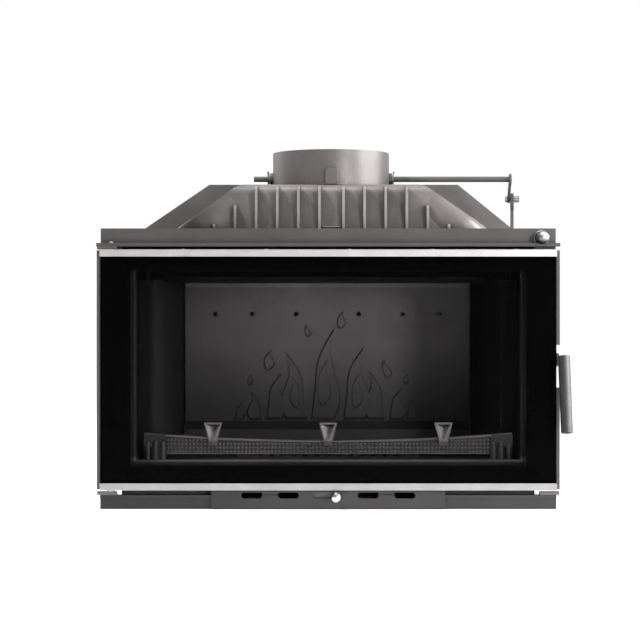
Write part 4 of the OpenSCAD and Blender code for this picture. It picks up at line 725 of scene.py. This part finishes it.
def hood_shoulder(side, tag):
    """A rolled edge along the hood's sloping shoulder, sunk into its face along both sides."""
    slope = math.atan2(HOOD_TOP_Z - HOOD_FOOT_Z, HOOD_FOOT_HALF - HOOD_TOP_HALF)
    turn_x = (HOOD_TOP_HALF - HOOD_SHOULDER_R * math.tan(slope / 2)
              + HOOD_SHOULDER_R * math.sin(slope))
    start_z = HOOD_FOOT_Z + ROLL_START
    end_z = HOOD_TOP_Z - HOOD_SHOULDER_R + HOOD_SHOULDER_R * math.cos(slope)
    rings = []
    for i in range(ROLL_STEPS):
        edge_z = start_z + (end_z - start_z) * i / ROLL_STEPS
        edge_x = turn_x + (end_z - edge_z) / math.tan(slope)
        share = min(1.0, (ROLL_STEPS - i) / ROLL_FADE_STEPS)
        front, back = [], []
        for inward, full_rise in ROLL:
            rise = (full_rise + ROLL_SINK) * share - ROLL_SINK
            x = HOOD_MID + side * (edge_x - math.sin(slope) * inward * MM)
            z = edge_z - math.cos(slope) * inward * MM
            y = hood_face(x, z)
            front.append((x, y - rise * MM, z))
            back.append((x, y + ROLL_BACK, z))
        rings.append(front + back[::-1])
    bm = bmesh.new()
    loft(bm, rings)
    soften(mesh_object(f"hood_shoulder_{tag}", bm, "insert", "grey_iron", HOOD_IRON))


hood_shoulder(1, "right")
hood_shoulder(-1, "left")

PAD_MID = 6.2 * MM
LIP_HALF, LIP_T, LIP_REACH, LIP_SETBACK, LIP_R = 18.3 * MM, 1.5 * MM, 8.5 * MM, 2.5 * MM, 1.6 * MM
# Height and share of the black strip under the lip, painted shade
LIP_SHADE_STRIP_H, LIP_SHADE_STRIP_SHARE = 2.2 * MM, 0.94
# Seen from the camera, the beam hides what lies lower than this over its top
LIP_RISE = 5.8 * MM
# Softened rims of the lip: inset, and share of the height
LIP_RIMS = ((0.3 * MM, 0.0), (0.0, 0.3), (0.0, 0.7), (0.35 * MM, 1.0))


def hood_lip():
    """A thin lip over a black strip, painted shade in the gap under it, across the hood's foot
    between its two middle fins.
    """
    centre_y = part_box("hood")[0].y + LIP_SETBACK + LIP_REACH / 2
    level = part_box("front_beam")[1].z + LIP_RISE
    for name, base, height, share, slot_name, finish in (
            ("hood_lip", level, LIP_T, 1.0, "grey_iron", HOOD_IRON),
            ("hood_lip_shade_strip", level - LIP_SHADE_STRIP_H, LIP_SHADE_STRIP_H, LIP_SHADE_STRIP_SHARE,
             "gasket_black", None)):
        bm = bmesh.new()
        rings = []
        for inset, up in LIP_RIMS:
            half_x, half_y = (LIP_HALF - inset) * share, (LIP_REACH / 2 - inset) * share
            rings.append([(PAD_MID + px, centre_y + py, base + height * up)
                          for px, py in rounded_loop(half_x, -half_y, half_y, LIP_R)])
        loft(bm, rings)
        soften(mesh_object(name, bm, "insert", slot_name, finish))


COLLAR_PAD_HALF, COLLAR_PAD_HEAD, COLLAR_PAD_FOOT, COLLAR_PAD_R = (
    v * MM for v in (11.4, 585.4, 557.5, 5))
# Softened rims of the pad: inset, and reach before the collar's foremost place, in millimetres
COLLAR_PAD_RIMS = ((0.0, -3), (0.0, 0.4), (0.5, 1.3), (1.5, 1.7))


def collar_pad():
    """The square-shouldered pad cast on the collar's front."""
    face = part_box("flue_collar")[0].y
    bm = bmesh.new()
    loft(bm, [[(PAD_MID + px, face - reach * MM, pz) for px, pz in
               rounded_loop(COLLAR_PAD_HALF - inset * MM, COLLAR_PAD_FOOT,
                            COLLAR_PAD_HEAD - inset * MM, COLLAR_PAD_R - inset * MM)]
              for inset, reach in COLLAR_PAD_RIMS])
    soften(mesh_object("collar_pad", bm, "insert", "grey_iron"))


hood_lip()
collar_pad()


# Flame relief on the rear lining

EDGE_SLOPE, FLAME_SINK, FLAME_STEPS = 1.9 * MM, 0.4 * MM, 26
LINING_LEDGE = 15 * MM
LINING_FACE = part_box("back_lining")[0].y + LINING_LEDGE
FLAME_FOOT = HEARTH_Z + 52 * MM
# Each tongue: place across, foot over the ledge, height, width, lean, sway and lift, in millimetres
TONGUES = [
    (-8, 0, 172, 50, 18, 0.12, 5.0), (-58, 0, 128, 44, -18, -0.14, 5.2),
    (50, 0, 138, 46, 16, 0.14, 5.4), (92, 0, 92, 36, -12, -0.12, 5.0),
    (-100, 0, 88, 34, 12, 0.14, 5.0), (-134, 0, 54, 26, -8, -0.12, 5.0),
    (128, 0, 60, 28, 10, 0.12, 5.0), (-166, 0, 32, 18, 6, 0.10, 4.6),
    (160, 0, 36, 20, -6, -0.10, 4.6),
]
# Loose drops over the tongues, and raised hearts inside them, told in the same way
DROPS = [
    (-112, 92, 40, 20, 7, 0.12, 4.4), (112, 78, 34, 17, -6, 0.12, 4.4),
    (24, 170, 34, 16, 5, 0.10, 4.4), (-36, 154, 26, 12, -4, 0.10, 4.0),
    (-10, 22, 96, 26, 10, 0.14, 8.2), (52, 18, 74, 22, 8, 0.12, 8.4),
    (-58, 18, 68, 20, -8, -0.12, 8.4), (146, 66, 20, 10, 4, 0.10, 3.6),
    (-146, 64, 22, 11, 4, 0.10, 3.6),
]
# Where on its swelling curve a flame begins: a tongue has a wide foot, and a drop a point
TONGUE_FOOT, DROP_FOOT = 0.18, 0.004
# A flame's lean grows with this power of its height, and it sways in this many half waves
LEAN_POWER, HALF_WAVES = 1.7, 2.1
# Powers that move a flame's belly down and draw its tip out
BELLY_POWER, TIP_POWER = 0.62, 1.15
# Least size of a flame's crest, and share of its lift where its steep foot ends
CREST_LEAST, FLAME_KNEE = 0.55, 0.25


def flame_outline(height, width, lean, sway, foot):
    """A flame tongue as a closed outline: a foot, a swaying spine and a pointed tip."""
    left, right = [], []
    for i in range(FLAME_STEPS + 1):
        t = i / FLAME_STEPS
        spine = lean * t ** LEAN_POWER + sway * width * math.sin(HALF_WAVES * math.pi * t)
        swell = math.sin(math.pi * (foot + (1 - foot) * t) ** BELLY_POWER)
        half = 0.5 * width * max(0.0, swell) ** TIP_POWER
        left.append((spine - half, height * t))
        right.append((spine + half, height * t))
    return right + left[-2::-1]


def flame(name, x, z, height, width, lean, sway, lift, foot):
    """One raised flame with sloped edges on the rear lining."""
    outline = flame_outline(height, width, lean, sway, foot)
    cx = sum(p[0] for p in outline) / len(outline)
    cz = sum(p[1] for p in outline) / len(outline)
    crest = max(CREST_LEAST, 1 - 2 * EDGE_SLOPE / width)
    bm = bmesh.new()
    loft(bm, [[(x + cx + (px - cx) * scale, LINING_FACE - reach, z + cz + (pz - cz) * scale)
               for px, pz in outline]
              for scale, reach in ((1.0, -FLAME_SINK), (1.0, lift * FLAME_KNEE), (crest, lift))])
    soften(mesh_object(name, bm, "insert", "firebox_iron", LINING_IRON))


for kind, group, foot in (("flame", TONGUES, TONGUE_FOOT), ("drop", DROPS, DROP_FOOT)):
    for index, (px, rise, ph, pw, lean, sway, lift) in enumerate(group):
        flame(f"{kind}_{index}", px * MM, FLAME_FOOT + rise * MM, ph * MM, pw * MM, lean * MM, sway,
              lift * MM, foot)


# Pull knob, with a bright ring and a black bush in the beam's face round its rod

BALL_D, FOOT_D, NECK_D, NECK_LEN = 21 * MM, 19 * MM, 12 * MM, 12 * MM
# The ball's centre lies this share of its diameter before the neck's end
BALL_SINK_SHARE = 0.42
KNOB_SEGMENTS, BALL_STEPS, RING_SEGMENTS = 64, 26, 72
TIP_R = 0.1 * MM
BEAM_LIP_REACH = 13.5 * MM
BEAM_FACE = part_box("front_beam")[0].y + BEAM_LIP_REACH
KNOB_LOW, KNOB_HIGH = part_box("pull_knob")
KNOB_X, KNOB_Z = (KNOB_LOW.x + KNOB_HIGH.x) / 2, KNOB_HIGH.z - BALL_D / 2
# Each ring: radius, and height over the beam's face, in millimetres
RING_PROFILE = [(11.5, -1.0), (11.5, 0.4), (11.8, 0.9), (12.6, 0.9), (13.0, 0.5), (13.0, -1.0)]
BUSH_PROFILE = [(10.2, -1.0), (10.2, 0.1), (10.5, 0.4), (11.3, 0.3), (11.6, 0.1), (11.6, -1.0)]


def ball_profile():
    """Foot ring with a groove, waisted neck and ball, as radius and height pairs."""
    foot, neck, ball = FOOT_D / 2, NECK_D / 2, BALL_D / 2
    third = NECK_LEN / 3
    centre = NECK_LEN + BALL_D * BALL_SINK_SHARE
    profile = [(TIP_R, 0.0), (foot * 0.92, 0.0), (foot, third * 0.15), (foot, third * 0.42),
               (foot * 0.94, third * 0.5), (foot, third * 0.58), (foot, third * 0.85),
               (foot * 0.92, third), (neck, third * 1.05), (neck * 0.86, third * 1.8)]
    start = math.asin(min(0.98, neck * 0.9 / ball))
    for i in range(BALL_STEPS + 1):
        a = start + (math.pi - start) * i / BALL_STEPS
        profile.append((max(TIP_R, ball * math.sin(a)), centre - ball * math.cos(a)))
    return profile


def pull_knob():
    """The turned knob: its profile goes round the rod's axis, from its foot to the front."""
    foot_y = KNOB_LOW.y + NECK_LEN + BALL_D * BALL_SINK_SHARE + BALL_D / 2
    bm = bmesh.new()
    loft(bm, [[(KNOB_X + radius * c, foot_y - height, KNOB_Z + radius * s)
               for c, s in circle(KNOB_SEGMENTS)] for radius, height in ball_profile()])
    obj = mesh_object("pull_knob_turned", bm, "damper_control", "bright_chrome", BALL_CHROME)
    soften(obj)
    return obj


def knob_ring(name, slot_name, profile):
    bm = bmesh.new()
    loft_round(bm, [[(KNOB_X + radius * MM * c, BEAM_FACE - height * MM, KNOB_Z + radius * MM * s)
                     for c, s in circle(RING_SEGMENTS)] for radius, height in profile])
    soften(mesh_object(name, bm, "insert", slot_name))


knob_ring("knob_ring", "bright_chrome", RING_PROFILE)
knob_ring("knob_bush", "cap_black", BUSH_PROFILE)
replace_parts(pull_knob(), "pull_knob")


# Rope seal

ROPE_STEP, BRAID_PITCH = 2.2 * MM, 26 * MM
ROPE_AROUND, BRAID_STRANDS, BRAID_DEPTH = 16, 4, 0.045


def braided_rope():
    """The door's rope seal: a tube with a braid in its surface, round the door's back."""
    low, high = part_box("rope_seal")
    radius = (high.y - low.y) / 2
    centre_y = (low.y + high.y) / 2
    path = rounded_loop(high.x - radius, low.z + radius, high.z - radius, 2 * radius, steps=10)
    dense = []
    for (x0, z0), (x1, z1) in zip(path, path[1:] + path[:1]):
        cuts = max(1, int(math.hypot(x1 - x0, z1 - z0) / ROPE_STEP))
        dense += [(x0 + (x1 - x0) * k / cuts, z0 + (z1 - z0) * k / cuts) for k in range(cuts)]
    rings = []
    travelled = 0.0
    for i, (x, z) in enumerate(dense):
        bx, bz = dense[i - 1]
        ax, az = dense[(i + 1) % len(dense)]
        travelled += math.hypot(x - bx, z - bz)
        along = Vector((ax - bx, 0, az - bz)).normalized()
        out = Vector((along.z, 0, -along.x))
        twist = travelled / BRAID_PITCH * 2 * math.pi
        ring = []
        for k in range(ROPE_AROUND):
            a = 2 * math.pi * k / ROPE_AROUND
            weave = math.cos(BRAID_STRANDS * a - twist) * math.cos(BRAID_STRANDS * a + twist)
            r = radius * (1 - BRAID_DEPTH + BRAID_DEPTH * weave)
            ring.append(Vector((x, centre_y, z)) + out * (r * math.cos(a))
                        + Vector((0, r * math.sin(a), 0)))
        rings.append(ring)
    bm = bmesh.new()
    loft_round(bm, rings)
    obj = mesh_object("rope_seal_braid", bm, "door", "seal_rope")
    for polygon in obj.data.polygons:
        polygon.use_smooth = True
    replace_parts(obj, "rope_seal")


braided_rope()


# Stage, camera and light

CAMERA_PLACE, CAMERA_LENS, CAMERA_SENSOR = (-13.9 * MM, -3448.6 * MM, 319 * MM), 107.83, 36.0
# Levels of the studio that glossy rays see, and the share of it that lights diffuse surfaces
STUDIO_LEVEL, STUDIO_ACROSS, STUDIO_BEHIND, STUDIO_ABOVE = 0.34, 0.40, 0.45, 0.55
LIT_LEVEL = 0.2
FLOOR_TONE, FLOOR_GLOW, FLOOR_REACH, FLOOR_GAP = 0.82, 0.88, 9.0, 0.5 * MM
# Each lamp: name, place, aim, size in metres, watts, and if it shows in glossy surfaces
LAMPS = [
    ("left", (-1.1, -0.7, 1.9), (-0.1, 0, 0.5), (0.25, 0.25), 72, False),
    ("right", (2.4, -1.0, 1.2), (0.1, 0, 0.5), (0.8, 1.1), 68, True),
    ("far_right", (2.6, 0.15, 0.95), (0.1, 0, 0.5), (1.0, 0.9), 40, True),
    ("front", (2.2, -4.0, 0.8), (0, 0, 0.25), (0.6, 0.6), 70, True),
    ("rear_left", (-1.6, 1.2, 1.3), (-0.1, 0, 0.5), (0.7, 0.7), 16, True),
    ("top", (0.0, -0.3, 2.3), (0, 0, 0.5), (1.2, 0.5), 12, True),
]


def camera():
    """Level camera in front of the door, with the photograph's long lens."""
    data = bpy.data.cameras.new("camera")
    data.sensor_width = CAMERA_SENSOR
    data.lens = CAMERA_LENS
    data.clip_end = 30.0
    obj = bpy.data.objects.new("camera", data)
    obj.location = CAMERA_PLACE
    obj.rotation_euler = (math.radians(90), 0, 0)
    bpy.context.scene.collection.objects.link(obj)
    bpy.context.scene.camera = obj


def area_light(name, place, aim, size, watts, glossy):
    data = bpy.data.lights.new(name, "AREA")
    data.shape = "RECTANGLE"
    data.size, data.size_y = size
    data.energy = watts
    obj = bpy.data.objects.new(name, data)
    obj.location = place
    obj.rotation_euler = (Vector(aim) - Vector(place)).to_track_quat("-Z", "Y").to_euler()
    obj.visible_glossy = glossy
    bpy.context.scene.collection.objects.link(obj)


def math_node(tree, operation, first, second, third=None, clamp=False):
    """A math node on sockets or numbers."""
    node = tree.nodes.new("ShaderNodeMath")
    node.operation = operation
    node.use_clamp = clamp
    for socket, value in zip(node.inputs, (first, second, third)):
        if isinstance(value, bpy.types.NodeSocket):
            tree.links.new(value, socket)
        elif value is not None:
            socket.default_value = value
    return node.outputs[0]


def seen_rays(tree):
    """A factor of 1 for camera, glossy and transmission rays."""
    path = tree.nodes.new("ShaderNodeLightPath")
    total = path.outputs["Is Camera Ray"]
    for output in ("Is Glossy Ray", "Is Transmission Ray"):
        total = math_node(tree, "MAXIMUM", total, path.outputs[output])
    return total


def world():
    """Soft light on the object, white behind it, and a studio for glossy rays, dark at its left."""
    scene = bpy.context.scene
    scene.world = bpy.data.worlds.new("studio")
    scene.world.use_nodes = True
    tree = scene.world.node_tree
    tree.nodes.clear()
    way = tree.nodes.new("ShaderNodeSeparateXYZ")
    tree.links.new(tree.nodes.new("ShaderNodeTexCoord").outputs["Generated"], way.inputs["Vector"])
    path = tree.nodes.new("ShaderNodeLightPath")
    across = math_node(tree, "MULTIPLY_ADD", way.outputs["X"], STUDIO_ACROSS, STUDIO_LEVEL)
    behind = math_node(tree, "MULTIPLY", way.outputs["Y"], STUDIO_BEHIND)
    behind = math_node(tree, "MAXIMUM", behind, 0.0)
    above = math_node(tree, "MULTIPLY", way.outputs["Z"], STUDIO_ABOVE)
    above = math_node(tree, "MAXIMUM", above, 0.0)
    studio = math_node(tree, "ADD", across, math_node(tree, "ADD", behind, above), clamp=True)
    white = math_node(tree, "MAXIMUM", path.outputs["Is Camera Ray"],
                      path.outputs["Is Transmission Ray"])
    shown = math_node(tree, "MAXIMUM", white, studio)
    lit = math_node(tree, "MULTIPLY", studio, LIT_LEVEL)
    unseen = math_node(tree, "SUBTRACT", 1.0, seen_rays(tree))
    glow = math_node(tree, "ADD", math_node(tree, "MULTIPLY", shown, seen_rays(tree)),
                     math_node(tree, "MULTIPLY", lit, unseen))
    light = tree.nodes.new("ShaderNodeBackground")
    light.inputs["Color"].default_value = (1, 1, 1, 1)
    tree.links.new(glow, light.inputs["Strength"])
    out = tree.nodes.new("ShaderNodeOutputWorld")
    tree.links.new(light.outputs[0], out.inputs["Surface"])


def floor():
    """A pale floor that keeps the object's shadow."""
    material = bpy.data.materials.new("floor_white")
    material.use_nodes = True
    tree = material.node_tree
    tree.nodes.clear()
    coat = tree.nodes.new("ShaderNodeBsdfDiffuse")
    coat.inputs["Color"].default_value = (*grey(FLOOR_TONE), 1)
    glow = tree.nodes.new("ShaderNodeEmission")
    glow.inputs["Color"].default_value = (1, 1, 1, 1)
    strength = math_node(tree, "MULTIPLY", seen_rays(tree), FLOOR_GLOW)
    add = tree.nodes.new("ShaderNodeAddShader")
    out = tree.nodes.new("ShaderNodeOutputMaterial")
    tree.links.new(strength, glow.inputs["Strength"])
    tree.links.new(coat.outputs[0], add.inputs[0])
    tree.links.new(glow.outputs[0], add.inputs[1])
    tree.links.new(add.outputs[0], out.inputs["Surface"])
    bm = bmesh.new()
    level = CAD_BOX[0][2] - FLOOR_GAP
    bm.faces.new([bm.verts.new((sx * FLOOR_REACH, sy * FLOOR_REACH, level)) for sx, sy in
                  ((-1, -1), (1, -1), (1, 1), (-1, 1))])
    mesh = bpy.data.meshes.new("floor")
    bm.to_mesh(mesh)
    bm.free()
    obj = bpy.data.objects.new("floor", mesh)
    obj.data.materials.append(material)
    bpy.context.scene.collection.objects.link(obj)


camera()
world()
floor()
for lamp in LAMPS:
    area_light(*lamp)
bpy.context.scene.view_settings.view_transform = "Standard"
